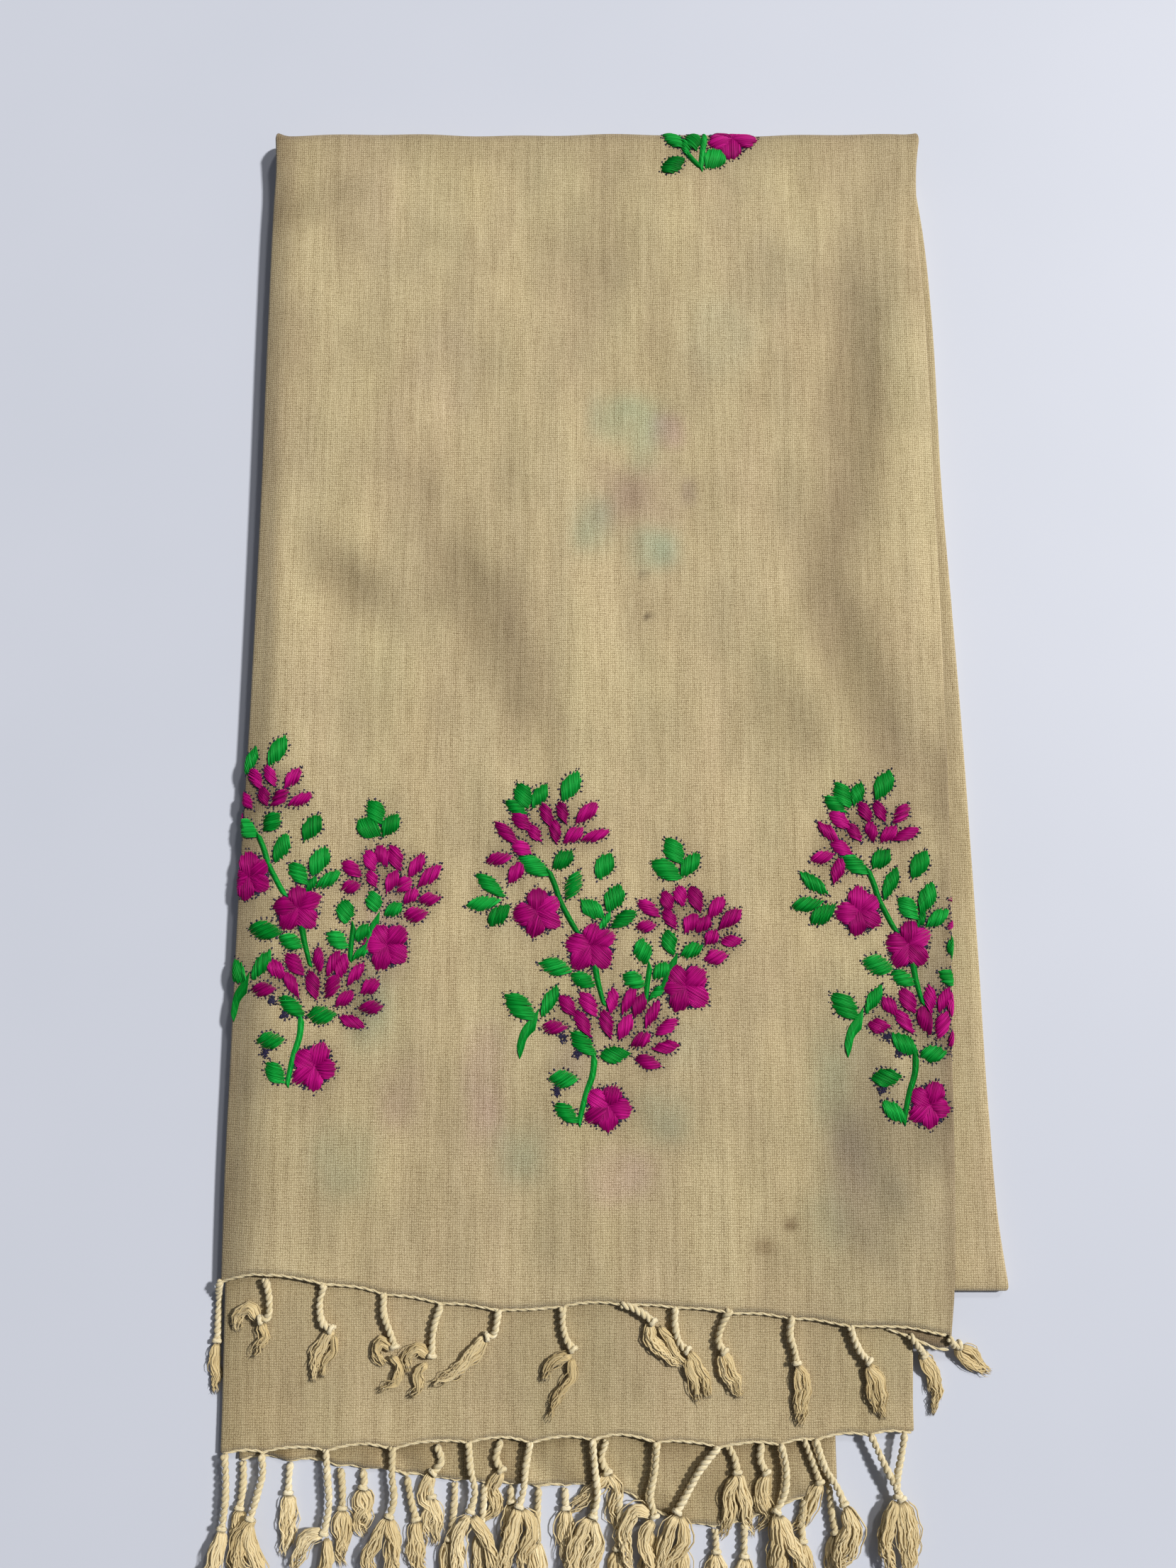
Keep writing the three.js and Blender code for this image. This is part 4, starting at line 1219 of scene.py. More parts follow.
@dataclass
class SecondStretch(Stretch):
    """The stretch that shows past the front one, with its long edges folded under."""

    def edges(self, y: np.ndarray) -> tuple[np.ndarray, np.ndarray]:
        """Its left and right edges."""
        return np.full_like(y, SECOND_SIDES[0]), np.full_like(y, SECOND_SIDES[1])

    def level(self, x: np.ndarray, y: np.ndarray) -> np.ndarray:
        """Level of its outer side."""
        return self.lay.second(x, y)

    def ends(self, x: np.ndarray, under: np.ndarray) -> tuple[np.ndarray, np.ndarray | float]:
        """Its cut end and the hidden layers."""
        return self.lay.end("second", x) + 0.4 * under, HIDDEN_START_Y - 0.3

    def marks(self, x: np.ndarray, y: np.ndarray) -> np.ndarray:
        """Painted shade: slightly darker than the front, most of all beside the front stretch's end and along
        its left fold.

        Args:
            x: Places across the flat cloth.
            y: Places along it.

        Returns:
            Linear colours, one row each.
        """
        shown = self.lay.ends["front"].at(x)
        painted_shade = 0.10 + 0.06 * np.sin(x / 21 + 2) + 0.12 * ramp(y, shown - 12, shown)
        painted_shade += 0.20 * ramp(x, SECOND_SIDES[0] + 16, SECOND_SIDES[0])
        return painted_shade_tints(painted_shade, (0.92, 1.0, 1.12))


@dataclass
class ThirdStretch(Stretch):
    """The stretch that shows past the second one, a single cloth with plain edges."""

    radius: float = 0.0

    def edges(self, y: np.ndarray) -> tuple[np.ndarray, np.ndarray]:
        """Its left and right edges."""
        return np.full_like(y, THIRD_SIDES[0]), np.full_like(y, THIRD_SIDES[1])

    def level(self, x: np.ndarray, y: np.ndarray) -> np.ndarray:
        """Level of its outer side, curled a little at its cut end."""
        near = ramp(y, self.lay.ends["third"].at(x) + 16, self.lay.ends["third"].at(x))
        return self.lay.third(x, y) + near * (0.6 + 1.1 * np.sin(x / 3.9 + y / 6) * np.sin(x / 17))

    def ends(self, x: np.ndarray, under: np.ndarray) -> tuple[np.ndarray, np.ndarray | float]:
        """Its cut end and the hidden layers."""
        return self.lay.end("third", x), HIDDEN_START_Y - 0.3

    def marks(self, x: np.ndarray, y: np.ndarray) -> np.ndarray:
        """Painted shade: darker all over and in uneven patches, as it lies lowest, most of all just past the
        second stretch's end and in the folds of its curled end.

        Args:
            x: Places across the flat cloth.
            y: Places along it.

        Returns:
            Linear colours, one row each.
        """
        second, third = self.lay.ends["second"].at(x), self.lay.ends["third"].at(x)
        painted_shade = 0.27 + 0.10 * np.sin(x / 9.1 + 1) * np.sin(y / 7.3) + 0.18 * ramp(y, second - 9, second)
        painted_shade += 0.16 * ramp(y, third + 16, third) * np.sin(x / 3.9 + y / 6 + 0.9) * np.sin(x / 17)
        return painted_shade_tints(painted_shade, (0.92, 1.0, 1.14))


@dataclass
class HiddenLayer(Stretch):
    """One of the layers between the front and the turned stretch, which show only as folds at the sides."""

    radius: float = 0.75
    top: float = 0.0
    inset_left: float = 0.0
    inset_right: float = 0.0
    far_y: float = 319.0

    def edges(self, y: np.ndarray) -> tuple[np.ndarray, np.ndarray]:
        """Its left and right edges at a place along it."""
        wave = 0.5 * np.sin(y / 23 + self.top)
        left, right = self.lay.front_left.at(y), self.lay.front_right.at(y)
        return left + self.inset_left + wave, right - self.inset_right + wave

    def level(self, x: np.ndarray, y: np.ndarray) -> np.ndarray:
        """Level of its outer side, drawn in towards the far turn's middle."""
        taper = 1 - 0.5 * ramp(y, self.far_y - 22, self.far_y)
        return blend(FRONT_TOP / 2, self.top, taper) - self.lay.settle(x, y)

    def ends(self, x: np.ndarray, under: np.ndarray) -> tuple[np.ndarray, np.ndarray | float]:
        """Where it goes on as a stretch that shows, and the far side."""
        return np.full_like(x, HIDDEN_START_Y), self.far_y


# ---------------------------------------------------------------- strands


def smooth_path(points: Sequence[tuple[float, float]], spacing: float) -> np.ndarray:
    """A smooth line on the plan through a few points.

    Args:
        points: Places it goes through.
        spacing: Distance between its own points.

    Returns:
        Evenly spaced points, one row each.
    """
    known = np.array(points, float)
    place = np.concatenate([[0], np.cumsum(np.linalg.norm(np.diff(known, axis=0), axis=1))])
    x, y = (Curve(list(zip(place, known[:, k]))) for k in (0, 1))
    at = np.linspace(0, place[-1], max(4, int(place[-1] / spacing) + 1))
    return np.stack([x.at(at), y.at(at)], axis=-1)


@dataclass
class Bundle:
    """Many strands of yarn or floss that become one mesh."""

    sides: int
    lines: list[np.ndarray] = field(default_factory=list)
    radii: list[np.ndarray] = field(default_factory=list)
    tones: list[np.ndarray] = field(default_factory=list)

    def add(self, line: np.ndarray, radius: np.ndarray | float, tone: np.ndarray | float) -> None:
        """Adds a strand, whose two ends are drawn to a point.

        Args:
            line: Points along it in millimetres.
            radius: Its radius, for each point or for all.
            tone: How light it is, from 0 to 1, for each point or for all.
        """
        wide = np.broadcast_to(radius, len(line)).astype(float).copy()
        wide[0] = wide[-1] = 0.0
        self.lines.append(line)
        self.radii.append(wide)
        self.tones.append(np.broadcast_to(tone, len(line)).astype(float))

    def build(self, name: str, material: bpy.types.Material) -> bpy.types.Object:
        """Rolls one long grid round all the strands, and takes out what joins one strand to the next.

        Args:
            name: Name of the piece.
            material: Its material.

        Returns:
            The finished piece.
        """
        counts = np.array([len(line) for line in self.lines])
        last = np.cumsum(counts) - 1
        points = np.concatenate(self.lines)
        ahead = np.minimum(np.arange(len(points)) + 1, np.repeat(last, counts))
        behind = np.maximum(np.arange(len(points)) - 1, np.repeat(last - counts + 1, counts))
        tangent = points[ahead] - points[behind]
        tangent /= np.maximum(np.linalg.norm(tangent, axis=1, keepdims=True), 1e-9)
        upright = np.where(np.abs(tangent[:, 2:]) > 0.95, [[0.6, 0.8, 0.0]], [[0.0, 0.0, 1.0]])
        sideways = np.cross(tangent, upright)
        sideways /= np.linalg.norm(sideways, axis=1, keepdims=True)
        upwards = np.cross(sideways, tangent)
        radius = np.concatenate(self.radii)
        angle = -math.tau * np.arange(self.sides + 1) / self.sides
        cosine, sine = np.cos(angle)[None, :, None], np.sin(angle)[None, :, None]
        ring = cosine * sideways[:, None, :] + sine * upwards[:, None, :]
        placed = points[:, None, :] + radius[:, None, None] * ring
        step = np.linalg.norm(points - points[behind], axis=1)
        run = np.cumsum(step)
        around = np.arange(self.sides + 1)[None, :] / self.sides * math.tau * np.maximum(radius, 0.1)[:, None]
        # Each strand starts at a place of its own on the map, so that no two have the same streaks.
        spread = np.repeat(np.arange(len(counts)) * 0.37, counts)[:, None]
        mapped = np.stack([around + spread * 10, np.broadcast_to(run[:, None], around.shape)], axis=-1) * MM
        mesh = grid_mesh(name, self.sides, len(points) - 1)
        shape_mesh(mesh, placed.reshape(-1, 3), "strand", mapped.reshape(-1, 2))
        tones = np.repeat(np.concatenate(self.tones), self.sides + 1)
        mesh.attributes.new("tone", "FLOAT", "POINT").data.foreach_set("value", tones.astype(np.float32))
        bm = bmesh.new()
        bm.from_mesh(mesh)
        bm.faces.ensure_lookup_table()
        joining = [bm.faces[row * self.sides + k] for row in last[:-1].tolist() for k in range(self.sides)]
        bmesh.ops.delete(bm, geom=joining, context="FACES")
        bmesh.ops.remove_doubles(bm, verts=bm.verts, dist=2e-7)
        bm.to_mesh(mesh)
        bm.free()
        mesh.shade_smooth()
        mesh.materials.append(material)
        piece = put(name, mesh)
        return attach(piece, "root")


# ---------------------------------------------------------------- needlework


class Outline(Enum):
    """Outline of a satin-stitched shape, with the slant of its threads in degrees."""

    PETAL = 24.0
    LEAF = 32.0
    LOBE = 7.0

    @property
    def drawn(self) -> float:
        """How far the tip is drawn out, as a share of the length on the chart."""
        return 0.17 if self is Outline.PETAL else 0.10

    def half_width(self, share: np.ndarray) -> np.ndarray:
        """Half width from the tip, at 0, to the foot, at 1, as a share of the full width.

        Args:
            share: Places from tip to foot.

        Returns:
            Half widths.
        """
        if self is Outline.LEAF:
            return 0.5 * np.clip(np.sin(math.pi * share**0.88), 0, 1) ** 0.92
        if self is Outline.PETAL:
            return 0.5 * np.clip(np.sin(math.pi * share**0.85), 0, 1) ** 0.95
        return 0.5 * np.clip(np.sin(math.pi * share**0.78), 0, 1)


@dataclass
class Spray:
    """A spray of satin-stitched petals, flowers, leaves and stems, worked through the front stretch."""

    name: str
    foot: tuple[float, float]
    turn: float
    seed: int
    lay: Lay
    chart: Chart
    pitch: float = 0.56  # spacing of the floss
    floss: float = 0.35  # its radius

    def __post_init__(self) -> None:
        """Starts the bundles of the spray's threads."""
        self.chance = np.random.default_rng(self.seed)
        self.petals, self.leaves, self.ink = Bundle(5), Bundle(5), Bundle(4)

    def place(self, point: np.ndarray) -> np.ndarray:
        """Turns a place on the chart to one on the flat cloth."""
        return from_foot(self.foot, self.turn, self.chart.breadth, point)

    def reaches(self, point: np.ndarray) -> bool:
        """Whether a place on the flat cloth is on the part of the fold that can be seen.

        Args:
            point: The place.

        Returns:
            Whether it is.
        """
        x, y = point
        left, right = self.lay.front_left.at(y), self.lay.front_right.at(y)
        return left - SEEN_PAST[0] < x < right + SEEN_PAST[0] and y < FAR_TURN_Y + SEEN_PAST[1]

    def stitch(
        self, bundle: Bundle, start: np.ndarray, stop: np.ndarray, tone: float, plump: float = 1.0
    ) -> None:
        """Lays one thread over the cloth, with both ends going down into it.

        Args:
            bundle: Where the thread goes.
            start: One end on the flat cloth.
            stop: The other end.
            tone: How light the thread is.
            plump: Share of the usual height in the middle.
        """
        if not self.reaches((start + stop) / 2):
            return
        left, right = self.lay.front_left.at(start[1]), self.lay.front_right.at(start[1])
        at_side = min(start[0], stop[0]) < left + 1.5 or max(start[0], stop[0]) > right - 1.5
        bent = at_side or max(start[1], stop[1]) > 316
        inner = np.linspace(0.07, 0.93, 7) if bent else np.array([0.07, 0.5, 0.93])
        share = np.concatenate([[0.0], inner, [1.0]])
        line = start + (stop - start) * share[:, None]
        crown = min(0.30 + 0.06 * float(np.linalg.norm(stop - start)), 0.8) * plump
        arch = np.sqrt(np.clip(np.sin(math.pi * share), 0, 1))
        placed = self.lay.on_front(line[:, 0], line[:, 1], -0.35 + (crown + 0.35) * arch)
        # Each stitch is painted lighter on its crown and darker where it goes down into the cloth: painted
        # highlight and shade.
        bundle.add(placed, self.floss * (0.5 + 0.55 * arch), tone + 0.16 * arch - 0.12)

    def satin(self, bundle: Bundle, tip: np.ndarray, foot: np.ndarray, width: float, shape: Outline) -> None:
        """Fills a shape with slanted threads that lie side by side.

        Args:
            bundle: Where the threads go.
            tip: Outer end of the shape on the flat cloth.
            foot: Inner end.
            width: Its full width.
            shape: Its outline.
        """
        length = float(np.linalg.norm(foot - tip))
        axis = (foot - tip) / length
        beside = np.array([-axis[1], axis[0]])
        share = np.linspace(0, 1, 25)
        half = width * shape.half_width(share)
        one_side, other_side = (np.stack([share * length, each], -1) for each in (half, -half))
        border = np.concatenate([one_side, other_side[::-1]])
        slant = math.radians(shape.value + self.chance.uniform(-4, 4))
        slant *= 1 if self.chance.random() < 0.8 else -1
        way, off = np.array([math.cos(slant), math.sin(slant)]), np.array([-math.sin(slant), math.cos(slant)])
        base, drop = self.chance.normal(0.40, 0.07), self.chance.uniform(-0.08, 0.08)
        places = border @ off
        for at in np.arange(places.min() + 0.6 * self.pitch, places.max(), self.pitch):
            side = places - at
            k = np.flatnonzero(side * np.roll(side, -1) < 0)
            if len(k) < 2:
                continue
            cut = side[k] / (side[k] - np.roll(side, -1)[k])
            reach = (border[k] + (np.roll(border, -1, axis=0)[k] - border[k]) * cut[:, None]) @ way
            low = reach.min() - self.chance.uniform(-0.3, 0.9)
            high = reach.max() + self.chance.uniform(-0.3, 0.9)
            if high - low < 1.0:
                continue
            wobble = self.chance.normal(0, 0.05, 2)
            start, stop = way * low + off * (at + wobble[0]), way * high + off * (at + wobble[1])
            tone = base + drop * (at / max(width, 1)) + self.chance.normal(0, 0.07)
            start, stop = (tip + axis * each[0] + beside * each[1] for each in (start, stop))
            self.stitch(bundle, start, stop, tone)
        self.needle_marks(tip, axis, beside, border)

    def needle_marks(self, tip: np.ndarray, axis: np.ndarray, beside: np.ndarray, border: np.ndarray) -> None:
        """Scatters the dark specks that are left round a worked shape.

        Args:
            tip: Outer end of the shape.
            axis: Direction of its length.
            beside: Direction of its width.
            border: Its outline, from the tip.
        """
        middle = border.mean(axis=0)
        for local in border[::3]:
            outward = (local - middle) / max(float(np.linalg.norm(local - middle)), 1e-6)
            for near, far, share in ((0.1, 0.8, 0.95), (0.7, 1.4, 0.45)):
                at = local + outward * self.chance.uniform(near, far)
                if self.chance.random() < share:
                    speck = tip + axis * at[0] + beside * at[1]
                    self.speck(speck, self.chance.uniform(0.5, 1.4), self.chance.uniform(0.26, 0.46))

    def speck(self, at: np.ndarray, length: float, radius: float) -> None:
        """A short dark mark in the cloth.

        Args:
            at: Its middle on the flat cloth.
            length: Its length.
            radius: Its radius.
        """
        if not self.reaches(at):
            return
        angle = self.chance.uniform(0, math.pi)
        half = np.array([math.cos(angle), math.sin(angle)]) * length / 2
        share = np.array([-1.0, -0.5, 0.5, 1.0])
        line = at + share[:, None] * half
        placed = self.lay.on_front(line[:, 0], line[:, 1], np.full(4, 0.02))
        self.ink.add(placed, radius, self.chance.uniform(0.1, 0.7))

    def stem(self, points: Sequence[tuple[float, float]], start: float, end: float) -> None:
        """Works a stem in short slanted threads.

        Args:
            points: Places along it on the chart.
            start: Its width at the first place.
            end: Its width at the last.
        """
        line = self.place(smooth_path(points, 0.55))
        tangent = heading(line)
        beside = np.stack([-tangent[:, 1], tangent[:, 0]], axis=-1)
        half = np.linspace(start, end, len(line))[:, None] / 2
        tone = self.chance.normal(0.34, 0.06)
        for at, along, off, reach in zip(line, tangent, beside, half):
            low = at - off * reach - along * reach * 1.7
            high = at + off * reach + along * reach * 1.7
            self.stitch(self.leaves, low, high, tone + self.chance.normal(0, 0.06), 0.8)
            if self.chance.random() < 0.25:
                self.speck(at + off * (reach + 0.7) * self.chance.choice([-1, 1]), 0.6, 0.2)

    def flower(self, middle: tuple[float, float], lobes: Sequence[tuple[float, float]]) -> None:
        """Works a five-lobed flower, with dark thread showing where two lobes meet.

        Args:
            middle: Its middle on the chart.
            lobes: Outer ends of its lobes.
        """
        centre = self.place(np.array(middle, float))
        ends = [self.place(np.array(lobe, float)) + self.chance.normal(0, 0.35, 2) for lobe in lobes]
        ends = [centre + (end - centre) * 1.06 for end in ends]
        for k, end in enumerate(ends):
            around = (np.linalg.norm(ends[k - 1] - end) + np.linalg.norm(ends[(k + 1) % len(ends)] - end)) / 2
            self.satin(self.petals, end, centre - (end - centre) * 0.12, float(around) * 0.66, Outline.LOBE)
            notch = (end + ends[(k + 1) % len(ends)]) / 2
            outward = (notch - centre) / np.linalg.norm(notch - centre)
            for _ in range(12):
                at = notch + outward * self.chance.uniform(-1.8, 0.4) + self.chance.normal(0, 0.7, 2)
                self.speck(at, self.chance.uniform(0.8, 1.6), self.chance.uniform(0.25, 0.4))

    def work(self) -> None:
        """Works the whole chart, with the small differences of handwork."""
        chart = self.chart
        for rows, bundle, shape in (
            (chart.leaves, self.leaves, Outline.LEAF),
            (chart.petals, self.petals, Outline.PETAL),
        ):
            for tip_x, tip_y, foot_x, foot_y, width in rows:
                drawn = self.place(np.array([[tip_x, tip_y], [foot_x, foot_y]], float))
                tip, foot = drawn + self.chance.normal(0, 0.45, (2, 2))
                tip, wide = tip + shape.drawn * (tip - foot), width * self.chance.uniform(1.14, 1.34)
                self.satin(bundle, tip, foot, wide, shape)
        for points, start, end in chart.stems:
            self.stem(points, start, end)
        for middle, lobes in chart.flowers:
            self.flower(middle, lobes)
        for blot in chart.blots:
            for _ in range(60):
                at = self.place(np.array(blot, float)) + self.chance.normal(0, 1.05, 2)
                self.speck(at, self.chance.uniform(0.8, 1.6), self.chance.uniform(0.25, 0.42))

    def build(
        self, petal: bpy.types.Material, leaf: bpy.types.Material, ink: bpy.types.Material
    ) -> list[bpy.types.Object]:
        """Makes the spray's pieces.

        Args:
            petal: Floss of the petals and flowers.
            leaf: Floss of the leaves and stems.
            ink: Material of the specks.

        Returns:
            The finished pieces.
        """
        self.work()
        made = []
        for part, bundle, material, slot in (
            ("petals", self.petals, petal, "petal_yarn"),
            ("leaves", self.leaves, leaf, "leaf_yarn"),
            ("marks", self.ink, ink, "petal_yarn"),
        ):
            if bundle.lines:
                made.append(bundle.build(f"{self.name}_spray_{part}", material))
        return made


# ---------------------------------------------------------------- fringes


@dataclass
class Fringe:
    """The thread that binds a cut end, and its tassels: twisted cords with a knot and loose locks."""

    name: str
    lay: Lay
    thread_line: np.ndarray
    tassels: list[tuple]
    support: Callable[[np.ndarray, np.ndarray], np.ndarray]
    seed: int
    fibres: int = 46
    swell: float = 1.0
    shade: float = 0.40

    def __post_init__(self) -> None:
        """Starts the fringe's two bundles."""
        self.chance = np.random.default_rng(self.seed)
        self.cords, self.locks = Bundle(7), Bundle(4)

    def rest(self, plan: np.ndarray, start: float, radius: float) -> np.ndarray:
        """Lays a line on what is under it, from a given height.

        Args:
            plan: Points on the plan.
            start: Height of the first one.
            radius: How far the line's middle stays above what is under it.

        Returns:
            Heights of the points, smoothed.
        """
        under = self.support(plan[:, 0], plan[:, 1]) + radius
        height = under.copy()
        height[0] = start
        step = np.linalg.norm(np.diff(plan, axis=0), axis=1)
        for k in range(1, len(plan)):
            height[k] = max(under[k], height[k - 1] - FALL_SLOPE * step[k - 1] * min(1.0, 0.35 + k / 8))
        padded = np.pad(height, 2, mode="edge")
        smoothed = np.convolve(padded, np.ones(5) / 5, mode="valid")
        smoothed[0] = start
        return np.maximum(smoothed, under)

    def twist(self, line: np.ndarray, ply: float, wind: float, turn_length: float, tone: float) -> None:
        """Winds two plies round a line.

        Args:
            line: Points along it.
            ply: Radius of a ply.
            wind: Distance of a ply's middle from the line.
            turn_length: Length of one full turn.
            tone: How light the yarn is.
        """
        tangent = heading(line)
        sideways = level_beside(tangent)
        upwards = np.cross(sideways, tangent)
        run = np.concatenate([[0], np.cumsum(np.linalg.norm(np.diff(line, axis=0), axis=1))])
        first = self.chance.uniform(0, math.tau)
        uneven = 1 + 0.12 * np.sin(run / 3.1 + first) + 0.06 * np.sin(run / 1.3)
        for side in (0, math.pi):
            angle = (-math.tau * run / turn_length + first + side)[:, None]
            placed = line + wind * (np.cos(angle) * sideways + np.sin(angle) * upwards)
            self.cords.add(placed, ply * uneven, tone + self.chance.normal(0, 0.03))

    def knot(self, at: np.ndarray, way: np.ndarray, tone: float) -> None:
        """Ties a small knot: a cord that winds twice round itself and crosses over on top.

        Args:
            at: Its middle.
            way: Direction of the cord there.
            tone: How light the yarn is.
        """
        way = way / np.linalg.norm(way)
        sideways = np.cross(way, [0.0, 0.0, 1.0])
        sideways /= np.linalg.norm(sideways)
        upwards = np.cross(sideways, way)
        for first, lean in ((0.2, 0.9), (3.3, -0.9)):
            angle = np.linspace(0, math.tau * 0.95, 16) + first
            drift = np.linspace(-lean, lean, 16)
            ring = np.cos(angle)[:, None] * sideways + 0.85 * np.sin(angle)[:, None] * upwards
            placed = at + 1.55 * ring + drift[:, None] * way
            self.cords.add(placed, 0.88, tone + 0.05)

    def lock(self, points: Sequence[tuple[float, float]], start: float, radius: float, share: float) -> None:
        """Makes one loose lock of wavy fibres.

        Args:
            points: Places along its middle.
            start: Height of its first place.
            radius: How far its middle stays above what is under it.
            share: How thick it is, as a share of the usual.
        """
        plan = smooth_path(points, 2.1)
        height = self.rest(plan, start, radius)
        line = np.concatenate([plan, height[:, None]], axis=1)
        sideways = level_beside(heading(line))
        along = np.linspace(0, 1, len(line))
        run = along * (len(line) - 1) * 2.1
        swell = np.interp(along, [0, 0.12, 0.4, 0.75, 1], [0.40, 0.80, 1.0, 0.85, 0.42])
        swell = swell * self.swell * math.sqrt(share)
        base = self.chance.normal(self.shade, 0.05)
        crimp, shared = self.chance.uniform(7.0, 12.0), self.chance.uniform(0, math.tau)
        count = int(self.fibres * share)
        for k in range(count):
            stray = 1.7 if k % 9 == 4 else 1.0
            reach = math.sqrt((k + 0.5) / count) * stray
            slow = math.tau * (k * 0.618 % 1) + shared + self.chance.uniform(-1.2, 1.2) * along * 2
            out = reach * 2.5 * swell
            phase = shared + self.chance.normal(0, 1.0)
            own = crimp * self.chance.uniform(0.8, 1.25)
            fine = 0.16 * np.sin(math.tau * run / (own * 0.45) + 2 * phase)
            wave = 0.62 * np.sin(math.tau * run / own + phase) + fine
            placed = line + (np.cos(slow) * out + wave * (0.5 + along))[:, None] * sideways
            raised = placed[:, 2] + np.sin(slow) * out * 0.6 + 0.3 * wave
            placed[:, 2] = np.maximum(raised, height - radius + 0.3)
            length = max(5, int(len(line) * min(1.0, self.chance.uniform(0.68, 1.1))))
            thick = np.interp(np.linspace(0, 1, length), [0, 0.1, 0.7, 1], [0.34, 0.50, 0.40, 0.12]) / stray
            # Fibres on the upper side of the lock are painted lighter and those under it darker: painted
            # light and shade.
            depth = 0.07 * np.sin(slow[:length]) + self.chance.normal(0.05, 0.03)
            self.locks.add(placed[:length], thick * self.chance.uniform(0.6, 1.4), base + depth)

    def tassel(
        self, cord: Sequence[tuple[float, float]], locks: Sequence[Sequence[tuple[float, float]]]
    ) -> None:
        """Makes one tassel.

        Args:
            cord: Places along the twisted part, from its root.
            locks: Places along each loose lock.
        """
        plan = smooth_path(cord, 0.7)
        root = float(np.interp(cord[0][0], self.thread_line[:, 0], self.thread_line[:, 2]))
        height = self.rest(plan, root + 0.9, CORD_RADIUS + 0.4)
        line = np.concatenate([plan, height[:, None]], axis=1)
        tone = self.chance.normal(0.42, 0.04)
        self.twist(line, 0.92, 0.80, 5.6, tone)
        self.knot(line[-2] + np.array([0.0, 0.0, 0.4]), line[-1] - line[-4], tone)
        for k, points in enumerate(locks):
            self.lock(points, float(height[-1]) + 0.2, CORD_RADIUS, 1.0 if k == 0 else 0.72)

    def build(self, yarn: bpy.types.Material, loose: bpy.types.Material) -> list[bpy.types.Object]:
        """Makes the fringe's pieces.

        Args:
            yarn: Material of the twisted yarn.
            loose: Material of the loose locks.

        Returns:
            The finished pieces.
        """
        self.twist(self.thread_line, 0.42, 0.28, 9.0, 0.42)
        for cord, locks in self.tassels:
            self.tassel(cord, locks)
        cords = self.cords.build(f"{self.name}_cords", yarn)
        tails = self.locks.build(f"{self.name}_locks", loose)
        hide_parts(f"{self.name}_fringe")
        return [cords, tails]


